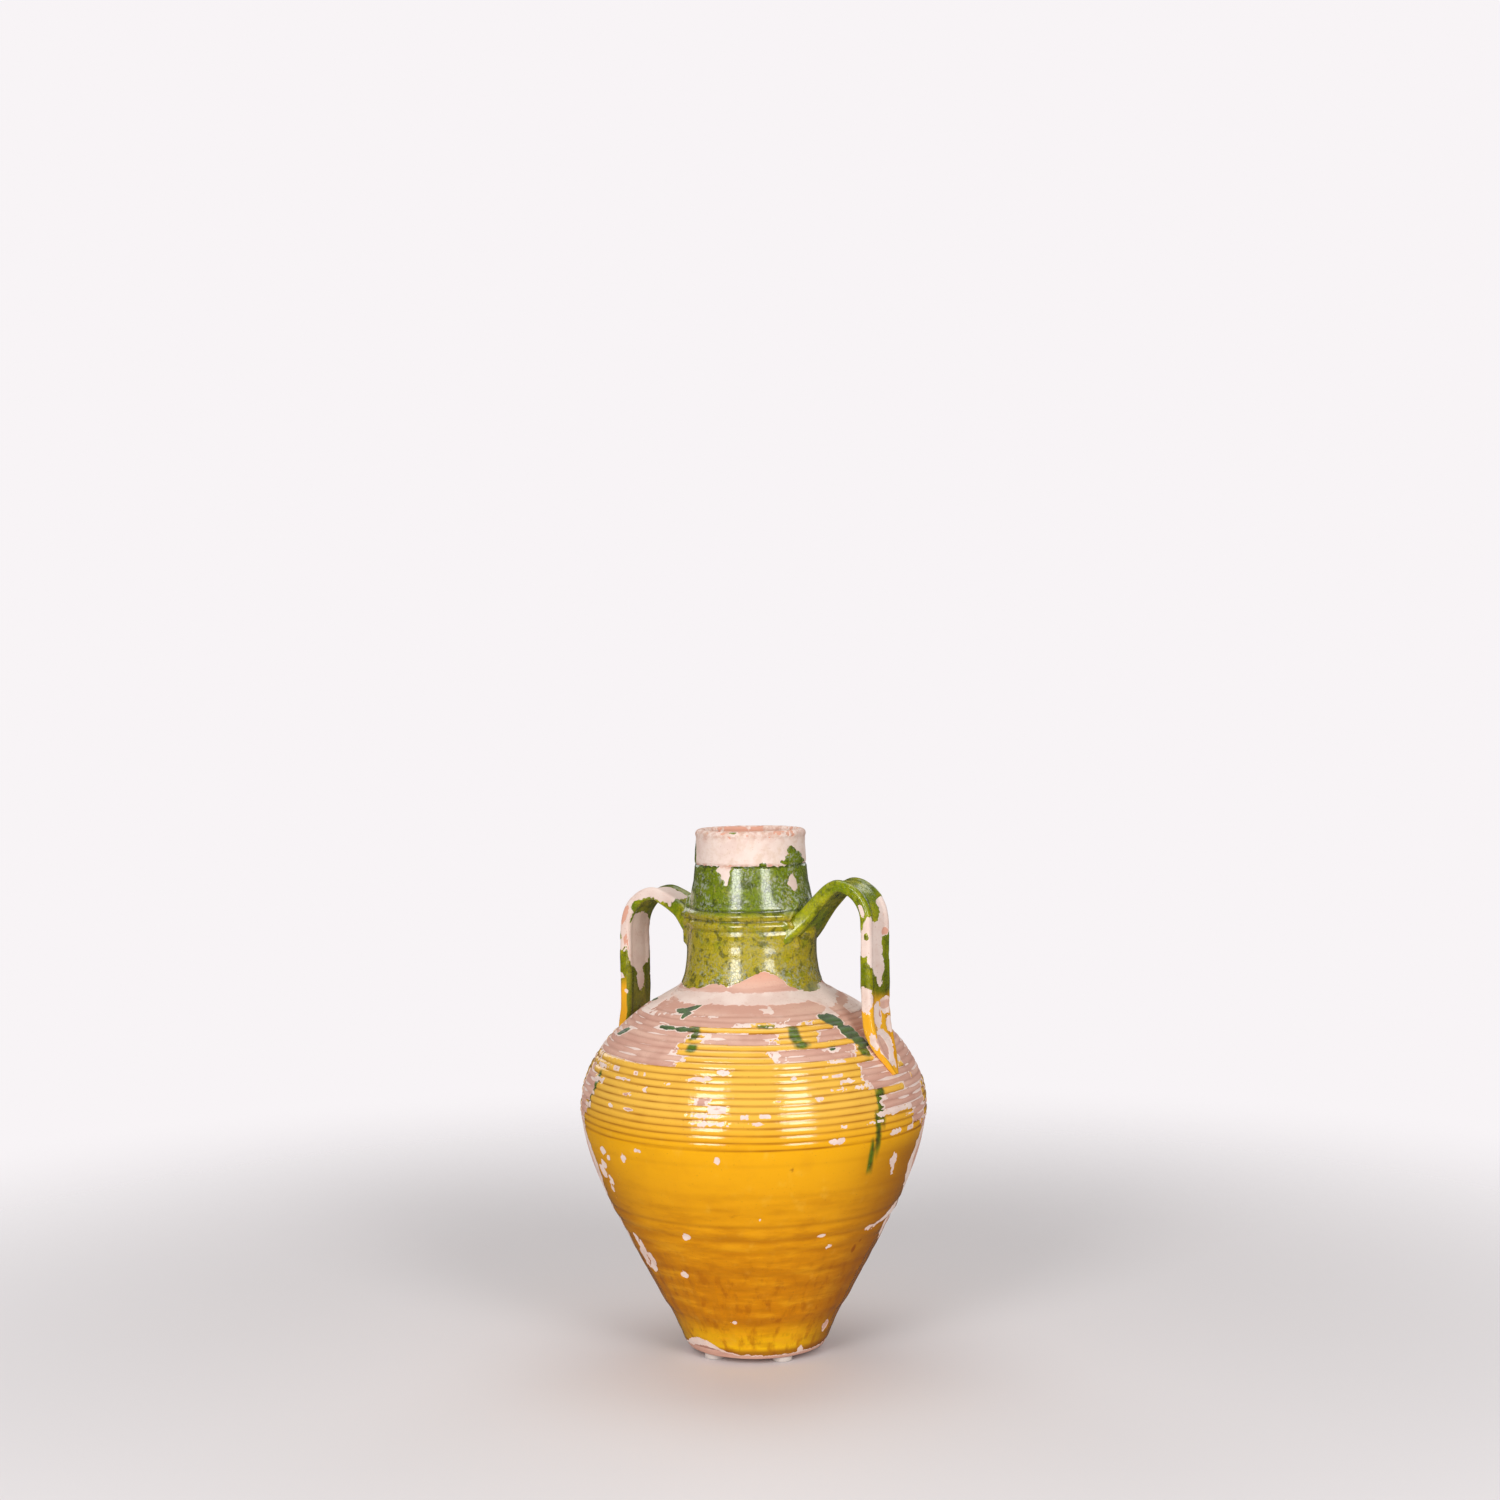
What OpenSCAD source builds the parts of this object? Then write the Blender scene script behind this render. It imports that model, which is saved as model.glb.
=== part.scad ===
// Two-handled earthenware storage jar: a thrown body built up from joined sections,
// two pulled strap handles, separate glaze and slip coats, and four felt pads.
// Millimetres. The origin is the middle of the resting plane and +Z is up.

/* [Body] */
// Height from the table to the lip
overall_height = 500; // [300:5:700]
// Outer radius of the belly at its widest ring
belly_radius = 167; // [100:1:240]
// Outer radius of the neck at its middle
neck_radius = 61; // [50:1:80]
// Thickness of the thrown wall
wall = 8; // [5:0.5:12]
// Thickness of the thrown floor
floor_thickness = 12; // [8:1:20]
// Inner radius of the mouth
mouth_radius = 45; // [35:1:60]

/* [Comb grooves] */
// Number of comb grooves around the shoulder
groove_count = 20; // [0:1:26]
// Depth of one comb groove
groove_depth = 1.3; // [0.4:0.1:2.5]
// Height of the two ridges on the neck
ridge_height = 2; // [0:0.5:4]

/* [Handles] */
// Distance from the jar's axis to the middle of each strap
handle_reach = 137; // [120:1:160]
// Width of the pulled strap
strap_width = 38; // [24:1:50]
// Thickness of the strap at its rolled edges
strap_thickness = 12; // [8:0.5:16]
// Height of the middle of the right strap at the top of its arch
right_arch_top = 449; // [425:1:470]
// Height of the middle of the left strap at the top of its arch
left_arch_top = 433; // [425:1:470]

/* [Coats] */
// Thickness of the glaze and slip coats
coat = 0.8; // [0.4:0.1:1.5]

/* [Foot pads] */
// Height of a felt pad
pad_height = 5; // [2:0.5:8]
// Radius of a felt pad
pad_radius = 9.5; // [6:0.5:14]
// Distance from the jar's axis to the middle of a pad
pad_circle = 55; // [40:1:58]

/* [Hidden] */
$fn = 180;
kz = overall_height / 500;
kb = belly_radius / 167;
kn = neck_radius / 61;

// Height and radius of the jar's outer surface, foot to lip
stations = [
    [5 * kz, 66.5 * kb], [13 * kz, 70.3 * kb], [22 * kz, 73.4 * kb], [35 * kz, 80 * kb], [50 * kz, 89 * kb],
    [70 * kz, 100 * kb], [95 * kz, 114 * kb], [120 * kz, 127 * kb], [145 * kz, 140 * kb], [170 * kz, 151.5 * kb],
    [190 * kz, 158.8 * kb], [210 * kz, 164 * kb], [232 * kz, 167 * kb], [250 * kz, 165.6 * kb], [265 * kz, 161.4 * kb],
    [280 * kz, 154 * kb], [295 * kz, 144 * kb], [308 * kz, 131.5 * kb], [320 * kz, 118 * kb], [330 * kz, 104.5 * kb],
    [338 * kz, 90.5 * kb], [344 * kz, 79.5 * kb], [350 * kz, 70.6 * kb], [358 * kz, 66.2 * kn], [370 * kz, 63.8 * kn],
    [385 * kz, 62.3 * kn], [400 * kz, 61.6 * kn], [412 * kz, 61 * kn], [425 * kz, 59.7 * kn], [440 * kz, 57.5 * kn],
    [452 * kz, 55.4 * kn], [466 * kz, 54 * kn], [480 * kz, 53.6 * kn], [494 * kz, 52.9 * kn]
];
last = len(stations) - 1;
foot_z = pad_height;
floor_z = foot_z + floor_thickness;
seam_belly = 222 * kz;
seam_neck = 348 * kz;
seam_collar = 466 * kz;
glaze_foot = 15 * kz;
slip_low = 331 * kz;
slip_high = 352 * kz;
lip_z = overall_height;
lip_roll = 4;

// Smooth curve through the stations: a cubic span between neighbours, with its slope taken across them
function slope_at(i) = i == 0 ? (stations[1][1] - stations[0][1]) / (stations[1][0] - stations[0][0])
    : i == last ? (stations[last][1] - stations[last - 1][1]) / (stations[last][0] - stations[last - 1][0])
    : (stations[i + 1][1] - stations[i - 1][1]) / (stations[i + 1][0] - stations[i - 1][0]);
function span_of(z, i = 0) = i >= last - 1 || z < stations[i + 1][0] ? i : span_of(z, i + 1);
function cubic(t, p, q, m, n, w) = (2 * pow(t, 3) - 3 * t * t + 1) * p + (pow(t, 3) - 2 * t * t + t) * w * m
    + (3 * t * t - 2 * pow(t, 3)) * q + (pow(t, 3) - t * t) * w * n;
function smooth_radius(z) = let (i = span_of(z), a = stations[i], b = stations[i + 1], w = b[0] - a[0])
    cubic((z - a[0]) / w, a[1], b[1], slope_at(i), slope_at(i + 1), w);
function lean(z) = (smooth_radius(z + 0.5) - smooth_radius(z - 0.5));
function outward(z) = let (m = lean(z), l = sqrt(1 + m * m)) [1 / l, -m / l];

// The comb grooves are evenly spaced in angle about the middle of the shoulder's round
round_r = 60 * kb;
round_z = 225 * kz;
comb_low = -2;
comb_high = 69;
function comb_angle(z) = atan2(z - round_z, smooth_radius(z) - round_r);
function comb_z(a, lo, hi, n = 18) = n == 0 ? (lo + hi) / 2
    : let (mid = (lo + hi) / 2) comb_angle(mid) < a ? comb_z(a, mid, hi, n - 1) : comb_z(a, lo, mid, n - 1);
function comb_cut(z) = let (u = (comb_angle(z) - comb_low) / (comb_high - comb_low))
    u <= 0 || u >= 1 || groove_count == 0 ? 0 : -groove_depth * (1 - abs(sin(180 * groove_count * u)));
function ridge(z, at) = ridge_height * exp(-pow((z - at * kz) / 2.6, 2));
function relief(z) = comb_cut(z) + ridge(z, 422) + ridge(z, 413.5);

// Heights at which the outer surface is drawn: foot, comb grooves, neck, ridges, collar
comb_steps = max(1, groove_count) * 6;
heights = concat(
    [for (i = [0:26]) foot_z + (216 * kz - foot_z) * i / 26],
    [for (i = [0:comb_steps]) comb_z(comb_low + (comb_high - comb_low) * i / comb_steps, 200 * kz, 346 * kz)],
    [for (z = [338:3:405]) z * kz],
    [for (z = [406:1.25:430]) z * kz],
    [for (z = [433:4:494]) z * kz]
);
function skin_point(z, inset) = [smooth_radius(z), z] + (relief(z) - inset) * outward(z);
function bare_point(z, inset) = [smooth_radius(z), z] - inset * outward(z);
function skin_line(inset, low, high) = [for (z = heights) if (z >= low && z <= high) skin_point(z, inset)];
function bare_line(inset, low, high) = [for (z = heights) if (z >= low && z <= high) bare_point(z, inset)];
function backward(line) = [for (i = [len(line) - 1:-1:0]) line[i]];
function lip_arc(r) = [for (a = [0:15:180]) [mouth_radius + lip_roll + r * cos(a), lip_z - lip_roll - coat + r * sin(a)]];

// Half section of everything inside the given depth below the outer surface
module filled(inset) {
    polygon(concat([[0, foot_z]], skin_line(inset, foot_z, 490 * kz), [[smooth_radius(490 * kz) - inset, 496 * kz], [0, 496 * kz]]));
}

// Half section of the clay, floor and lip included
module clay_section() {
    inner = bare_line(wall + coat, floor_z + 8, 452 * kz);
    corner = inner[0];
    polygon(concat(
        [[0, foot_z], [smooth_radius(foot_z) - 3, foot_z]],
        skin_line(coat, foot_z + 1, 490 * kz),
        lip_arc(lip_roll),
        [[mouth_radius, seam_collar - 2]],
        backward(inner),
        [[corner[0] - 3, floor_z + 2.5], [corner[0] - 9, floor_z], [0, floor_z]]));
}

// Half section of a coat lying on the clay between two heights
module coat_section(low, high) {
    intersection() {
        polygon(concat(skin_line(0, foot_z, 494 * kz), backward(skin_line(coat, foot_z, 494 * kz))));
        translate([20, low]) square([200 * kb, high - low]);
    }
}

// Stepped luted joint at one height: everything above, with the inner half of the wall starting later
module above(z, step, middle) {
    difference() {
        translate([0, z]) square([300, 600]);
        translate([0, z - 1]) square([middle, step + 1]);
    }
}

module clay_between(low, low_step, low_middle, high, high_step, high_middle) {
    rotate_extrude() difference() {
        intersection() {
            clay_section();
            above(low, low_step, low_middle);
        }
        above(high, high_step, high_middle);
    }
}

belly_middle = smooth_radius(seam_belly) - coat - wall / 2;
neck_middle = smooth_radius(seam_neck) - 5;
collar_middle = smooth_radius(seam_collar) - coat - 3.6;
slab_middle = smooth_radius(floor_z) - coat - 13;

module base_slab() {
    color("#c58f78") rotate_extrude() difference() {
        clay_section();
        above(floor_z - 5, 5, slab_middle);
    }
}

module lower_wall() {
    color("#cb957e") clay_between(floor_z - 5, 5, slab_middle, seam_belly, 4, belly_middle);
}

module upper_wall() {
    color("#cf9a83") clay_between(seam_belly, 4, belly_middle, seam_neck, 4, neck_middle);
}

module neck() {
    color("#c8927b") clay_between(seam_neck, 4, neck_middle, seam_collar, 3, collar_middle);
}

module rim_collar() {
    color("#cc967f") rotate_extrude() intersection() {
        clay_section();
        above(seam_collar, 3, collar_middle);
    }
}

// Section of the pulled strap: a thin dished web between two rolled edges
module strap_section(grow) {
    edge = strap_thickness / 2;
    square([strap_thickness - 3 + 2 * grow, strap_width - 2 * edge], center = true);
    for (s = [-1, 1]) translate([0, s * (strap_width / 2 - edge)]) circle(r = edge + grow, $fn = 48);
}

// The strap's path: down beside the jar, over a tight turn, then in and down to the neck
module strap_path(top, turn, reach_in, end_angle, low) {
    middle = handle_reach - turn;
    translate([handle_reach, 0, low]) linear_extrude(top - turn - low) children();
    translate([middle, 0, top - turn]) rotate([90, 0, 0]) rotate_extrude(angle = 90)
        translate([turn, 0]) children();
    translate([middle, 0, top - reach_in]) rotate([90, 0, 0]) rotate([0, 0, 90]) rotate_extrude(angle = end_angle - 90)
        translate([reach_in, 0]) children();
}

tail_top = 320 * kz;
tail_tip = 277 * kz;
module tail_outline(grow) {
    h = strap_width / 2 - 3 + grow;
    polygon([[-h, tail_top + grow], [h, tail_top + grow], [h - 2, tail_top - 18], [5 + grow, tail_tip + 8],
        [2 + grow, tail_tip - grow], [-2 - grow, tail_tip - grow], [-5 - grow, tail_tip + 8], [2 - h, tail_top - 18]]);
}

// The wiped tail that spreads the strap's foot down over the shoulder
module tail(grow, rise) {
    intersection() {
        translate([80, 0, 0]) rotate([90, 0, 90]) linear_extrude(90 * kb) tail_outline(grow);
        rotate_extrude() polygon(concat(bare_line(-rise, 262 * kz, 336 * kz), backward(bare_line(8, 262 * kz, 336 * kz))));
    }
}

// The pressed lump that joins the strap to the neck
module lump(z) {
    translate([40, 0, z]) rotate([0, 90, 0]) {
        cylinder(r = 20, h = neck_radius - 38);
        translate([0, 0, neck_radius - 38]) cylinder(r1 = 20, r2 = 11, h = 9);
    }
}

module jar_filled(inset) {
    rotate_extrude() filled(inset);
}

module handle_clay(top, turn, reach_in, end_angle, lump_z) {
    difference() {
        union() {
            strap_path(top, turn, reach_in, end_angle, 286 * kz) strap_section(0);
            lump(lump_z);
            tail(0, 5);
        }
        jar_filled(coat);
    }
}

module handle_coat(top, turn, reach_in, end_angle, lump_z) {
    difference() {
        strap_path(top, turn, reach_in, end_angle, 300 * kz) difference() {
            strap_section(coat);
            strap_section(0);
        }
        jar_filled(0);
        translate([30, 0, lump_z]) rotate([0, 90, 0]) cylinder(r = 21, h = neck_radius - 22);
        tail(1, 6);
        translate([0, 0, 0]) cylinder(r = neck_radius + 5, h = lump_z);
        translate([80, -40, 250 * kz]) cube([120, 80, 78 * kz]);
    }
}

right_turn = 33;
right_reach_in = 46;
right_end = 158;
left_turn = 33;
left_reach_in = 70;
left_end = 132;
lump_right = 414 * kz;
lump_left = 417 * kz;

module right_handle() {
    color("#c9937c") handle_clay(right_arch_top * kz, right_turn, right_reach_in, right_end, lump_right);
}

module left_handle() {
    color("#c9937c") rotate([0, 0, 180]) handle_clay(left_arch_top * kz, left_turn, left_reach_in, left_end, lump_left);
}

module right_handle_glaze() {
    color("#7f9a1c") handle_coat(right_arch_top * kz, right_turn, right_reach_in, right_end, lump_right);
}

module left_handle_glaze() {
    color("#7f9a1c") rotate([0, 0, 180]) handle_coat(left_arch_top * kz, left_turn, left_reach_in, left_end, lump_left);
}

// Openings in the coats where the handles are fixed to the clay
module neck_windows() {
    for (s = [0, 180]) rotate([0, 0, s]) translate([40, -21, 392 * kz]) cube([40, 42, 48 * kz]);
}

module shoulder_windows() {
    for (s = [0, 180]) rotate([0, 0, s]) {
        translate([90, 0, 0]) rotate([90, 0, 90]) linear_extrude(90 * kb) tail_outline(1);
        translate([112, -21, 290 * kz]) cube([33, 42, 40 * kz]);
    }
}

module lower_body_glaze() {
    color("#f0b223") rotate_extrude() coat_section(glaze_foot, seam_belly);
}

module upper_body_glaze() {
    color("#f3b92c") difference() {
        rotate_extrude() coat_section(seam_belly, slip_low);
        shoulder_windows();
    }
}

module shoulder_slip() {
    color("#efe3d0") rotate_extrude() coat_section(slip_low, slip_high);
}

module neck_glaze() {
    color("#4f7a1f") difference() {
        rotate_extrude() coat_section(slip_high, seam_collar);
        neck_windows();
    }
}

module collar_slip() {
    color("#efe3d0") rotate_extrude() difference() {
        intersection() {
            polygon(concat(skin_line(0, 455 * kz, 490 * kz), lip_arc(lip_roll + coat),
                [[mouth_radius - coat, lip_z - lip_roll - coat], [mouth_radius + 3, lip_z - 8], [mouth_radius + 3, 455 * kz]]));
            translate([0, seam_collar]) square([200, 100]);
        }
        clay_section();
        translate([0, seam_collar - 10]) square([mouth_radius + 3, 30]);
        square([mouth_radius + 1, 2 * lip_z]);
    }
}

module pad(a) {
    color("#f4f2ec") rotate([0, 0, a]) translate([pad_circle, 0, 0]) cylinder(r = pad_radius, h = pad_height);
}

module pad_front_left() { pad(-103); }
module pad_front_right() { pad(-31); }
module pad_back_right() { pad(77); }
module pad_back_left() { pad(149); }

base_slab();
lower_wall();
upper_wall();
neck();
rim_collar();
right_handle();
left_handle();
lower_body_glaze();
upper_body_glaze();
shoulder_slip();
neck_glaze();
collar_slip();
right_handle_glaze();
left_handle_glaze();
pad_front_left();
pad_front_right();
pad_back_right();
pad_back_left();
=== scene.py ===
"""Two-handled earthenware jar: pink clay, white slip, and flaking yellow and green glaze."""

import math

import bpy
import numpy as np
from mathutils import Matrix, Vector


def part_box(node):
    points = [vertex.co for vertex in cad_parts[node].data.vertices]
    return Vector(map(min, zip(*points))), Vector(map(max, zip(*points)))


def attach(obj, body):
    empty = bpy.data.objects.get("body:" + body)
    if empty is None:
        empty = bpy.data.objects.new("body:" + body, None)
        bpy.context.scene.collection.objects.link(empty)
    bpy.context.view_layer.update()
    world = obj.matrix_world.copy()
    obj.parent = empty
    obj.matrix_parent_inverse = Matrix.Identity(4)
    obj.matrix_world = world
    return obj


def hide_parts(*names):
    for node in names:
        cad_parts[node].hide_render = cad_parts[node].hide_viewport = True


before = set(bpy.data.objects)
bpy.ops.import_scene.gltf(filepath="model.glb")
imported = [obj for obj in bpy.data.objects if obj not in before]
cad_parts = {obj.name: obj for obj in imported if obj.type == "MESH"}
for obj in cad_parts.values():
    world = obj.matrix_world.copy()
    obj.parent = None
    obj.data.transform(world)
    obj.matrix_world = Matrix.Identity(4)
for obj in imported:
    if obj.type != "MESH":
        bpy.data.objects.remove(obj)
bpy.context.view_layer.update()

MM = 0.001
FRONT = -57.0  # degrees round the jar from the right handle: the side that shows the drips
RIGHT_HANDLE = 57.0  # degrees to the right of the front
LEFT_HANDLE = -123.0

# ---------------------------------------------------------------- noise and small helpers


def eased(t):
    """Smooth step from 0 to 1."""
    t = np.clip(t, 0, 1)
    return t * t * (3 - 2 * t)


def grain(places, size, seed):
    """Noise from -1 to 1: a random number at each corner of cubes of the given size, eased between corners."""
    q = places / size + 13.7 * seed
    cell = np.floor(q).astype(np.int64)
    t = eased(q - cell)
    total = np.zeros(places.shape[:-1])
    for corner in range(8):
        step = np.array([corner & 1, corner >> 1 & 1, corner >> 2])
        key = ((cell + step) * np.array([73856093, 19349663, 83492791])).sum(-1) + seed * 7919
        key = ((key ^ (key >> 13)) * 1274126177) & 0x7FFFFFFF
        key = ((key ^ (key >> 15)) * 668265263) & 0x7FFFFFFF
        weight = np.prod(np.where(step, t, 1 - t), -1)
        total += weight * (((key >> 8) & 0xFFFF) / 32767.5 - 1)
    return total


def rough(places, size, seed, layers=3):
    """Grain at several sizes, each half the size and strength of the one before."""
    return sum(grain(places, size / 2**k, seed + k) / 2**k for k in range(layers))


def jagged(places, size, seed):
    """Noise from -1 to 1 with sharp creases, at two sizes, for the pointed edges of flakes."""
    return 0.7 * (1 - 2.6 * np.abs(grain(places, size, seed))) + 0.45 * (1 - 2.6 * np.abs(grain(places,
        size * 0.43, seed + 1)))


def across_turn(turn, at):
    """Degrees from one direction round the jar to another, from -180 to 180."""
    return (turn - at + 180) % 360 - 180


# ---------------------------------------------------------------- the jar's outline

STATIONS = np.array([
    (5, 66.5), (13, 70.3), (22, 73.4), (35, 80), (50, 89), (70, 100), (95, 114), (120, 127), (145, 140),
    (170, 151.5), (190, 158.8), (210, 164), (232, 167), (250, 165.6), (265, 161.4), (280, 154), (295, 144),
    (308, 131.5), (320, 118), (330, 104.5), (338, 90.5), (344, 79.5), (350, 70.6), (358, 66.2), (370, 63.8),
    (385, 62.3), (400, 61.6), (412, 61), (425, 59.7), (440, 57.5), (452, 55.4), (466, 54), (480, 53.6),
    (494, 52.9),
])
SLOPES = np.gradient(STATIONS[:, 1], STATIONS[:, 0])
SLOPES[1:-1] = (STATIONS[2:, 1] - STATIONS[:-2, 1]) / (STATIONS[2:, 0] - STATIONS[:-2, 0])
MOUTH = 45.0
LIP = 4.0
COAT = 0.8
WALL = 8.0
COMBS = 20


def outline(height):
    """Radius at a height: a cubic span between neighbouring stations, with its slope taken across them."""
    height = np.clip(height, STATIONS[0, 0], STATIONS[-1, 0])
    i = np.clip(np.searchsorted(STATIONS[:, 0], height) - 1, 0, len(STATIONS) - 2)
    low, high = STATIONS[i], STATIONS[i + 1]
    w = high[..., 0] - low[..., 0]
    t = (height - low[..., 0]) / w
    a = (2 * t**3 - 3 * t**2 + 1) * low[..., 1] + (t**3 - 2 * t**2 + t) * w * SLOPES[i]
    return a + (3 * t**2 - 2 * t**3) * high[..., 1] + (t**3 - t**2) * w * SLOPES[i + 1]


def outward(height):
    """Outward direction of the outline at a height, as (sideways, up)."""
    lean = outline(height + 0.5) - outline(height - 0.5)
    length = np.sqrt(1 + lean**2)
    return 1 / length, -lean / length


ALONG_Z = np.linspace(5, 494, 2000)
ALONG_S = np.concatenate([[0], np.cumsum(np.hypot(np.diff(ALONG_Z), np.diff(outline(ALONG_Z))))])


def run(height):
    """Length of the outline from the foot up to a height."""
    return np.interp(height, ALONG_Z, ALONG_S) + np.clip(np.asarray(height) - ALONG_Z[-1], 0, None)


def evenly(low, high, step):
    """Heights from low to high, the same length of outline apart."""
    a, b = run(low), run(high)
    return np.interp(np.linspace(a, b, int(round((b - a) / step)) + 1), ALONG_S, ALONG_Z)


def comb_place(height):
    """Which comb groove a height is at, counted up from the belly; whole numbers are the middles of grooves."""
    return (np.degrees(np.arctan2(height - 225, outline(height) - 60)) + 2) / 71 * COMBS


def comb_wander(turn):
    """The grooves' slow wander up and down round the jar, in grooves."""
    t = np.radians(turn)
    return 0.13 * np.sin(t + 0.4) + 0.06 * np.sin(3 * t + 1.9) + 0.03 * np.sin(7 * t)


def groove_depth(turn, height):
    """How far inside a comb groove a place is: 1 in the middle of a groove and 0 between grooves."""
    u = comb_place(height) + comb_wander(turn)
    k = np.round(u)
    inside = (k >= 0) & (k <= COMBS)
    return np.where(inside, np.exp(-((u - k) * 7.4 / 1.25) ** 2), 0)


def on_jar(turn, height, radius=None):
    """Points in space for noise, from direction, height and radius."""
    r = outline(height) if radius is None else radius
    a = np.radians(turn + FRONT)
    return np.stack(np.broadcast_arrays(r * np.cos(a), r * np.sin(a), height), -1)


RINGS = [(146, -0.55, 2.6), (139, 0.45, 3), (131.5, -0.6, 2.4), (124, 0.3, 3), (118.5, -0.35, 2.2),
    (96, -0.4, 4),
         (80.5, -0.25, 3), (176, -0.2, 3), (161, -0.2, 3), (206, -0.2, 2.5), (53, 0.3, 5), (42, -0.5, 5),
         (24, 0.7, 6)]
NECK_RINGS = [(419.5, 1.9, 2.4), (424.2, -0.9, 1.1), (410.2, 1.6, 2.6), (414.7, -0.9, 1.0),
    (405.6, -0.5, 0.9), (401.5, 0.5, 2), (430, -0.3, 2),
              (385, 0.2, 4), (450, -0.2, 3), (466.2, -0.9, 1.1), (471, 0.35, 3.5), (485, -0.25, 4)]


# Ridges of clay smeared from the handles' roots onto the neck: rise and half width in mm, and where each starts and ends
WELDS = [(4.2, 2.2, (31, 417), (41, 390)), (3.6, 2.6, (31, 417), (44, 431)), (-1.6, 3, (40, 413), (46, 400)),
         (3.4, 3, (-84, 417), (-94, 391)), (3.4, 3, (-84, 417), (-99, 432))]


def apart(turn, height, start, end):
    """Distance in mm, on the neck, from the straight line between two places given as (direction, height)."""
    scale = math.radians(1) * 60
    u, v = across_turn(turn, start[0]) * scale, height - start[1]
    du, dv = (end[0] - start[0]) * scale, end[1] - start[1]
    t = np.clip((u * du + v * dv) / (du * du + dv * dv), 0, 1)
    return np.hypot(u - t * du, v - t * dv)


def relief(turn, height):
    """Height of the hand-made surface over the smooth outline: comb grooves, throwing rings, welds and a slow wobble."""
    turn, height = np.broadcast_arrays(turn, height)
    places = on_jar(turn, height)
    u = comb_place(height) + comb_wander(turn)
    combed = eased((u + 0.6) / 0.8) * eased((COMBS - 0.4 - u) / 1.2)
    strength = 1 + 0.3 * grain(places * [1, 1, 3], 60, 11)
    strength = strength * (1 - 0.4 * eased((height - 294) / 14))
    total = -combed * strength * (0.7 * groove_depth(turn,
        height) + 0.16 * (0.5 + 0.5 * np.cos(2 * np.pi * u)))
    for at, size, spread in RINGS + NECK_RINGS:
        wander = 1.2 * np.sin(np.radians(turn) + at)
        total = total + size * np.exp(-(((height - at + wander * (at < 300)) / spread) ** 2))
    for at, middle in ((RIGHT_HANDLE, 410), (LEFT_HANDLE, 410)):
        u = np.radians(across_turn(turn, at)) * outline(height)
        v = height - middle
        pressed = 1 + 0.22 * np.cos(u / 5.2) * np.exp(-((v + 8) / 14) ** 2)
        total = total + 8 * pressed * np.exp(-((np.abs(u + 2) / 27) ** 2.6) - (np.abs(v) / 22) ** 2.6)
    t = np.radians(turn)
    sway = t + 0.12 * np.sin(3 * t + 1)
    flutes = np.sin(46 * sway) + 0.7 * np.sin(31 * sway + 2) + 0.5 * grain(places * [1, 1, 0.15], 9, 12)
    total = total + 0.14 * flutes * eased((height - 22) / 20) * eased((128 - height) / 40)
    for rise, wide, start, end in WELDS:
        total = total + rise * np.exp(-((apart(turn, height, start, end) / wide) ** 2))
    slow = 0.35 * grain(places, 95, 3) + 0.12 * grain(places, 30, 4)
    return total + slow * eased((height - 5) / 20) * eased((497 - height) / 12)


# ---------------------------------------------------------------- sheets of triangles


def ring_faces(rows, columns, closed=False):
    """Triangles of a grid that closes round its columns, and round its rows too if closed."""
    last = rows if closed else rows - 1
    i, j = np.meshgrid(np.arange(last), np.arange(columns), indexing="ij")
    i2, j2 = (i + 1) % rows, (j + 1) % columns
    a, b, c, d = (x * columns + y for x, y in ((i, j), (i, j2), (i2, j2), (i2, j)))
    return np.concatenate([np.stack([a, b, c], -1).reshape(-1, 3), np.stack([a, c, d], -1).reshape(-1, 3)])


def facing(points, faces, normals):
    """The same triangles, turned over if they face against the given normals."""
    a, b, c = (points[faces[:, k]] for k in range(3))
    along = (np.cross(b - a, c - a) * normals[faces].mean(1)).sum()
    return faces if along > 0 else faces[:, ::-1]


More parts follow.
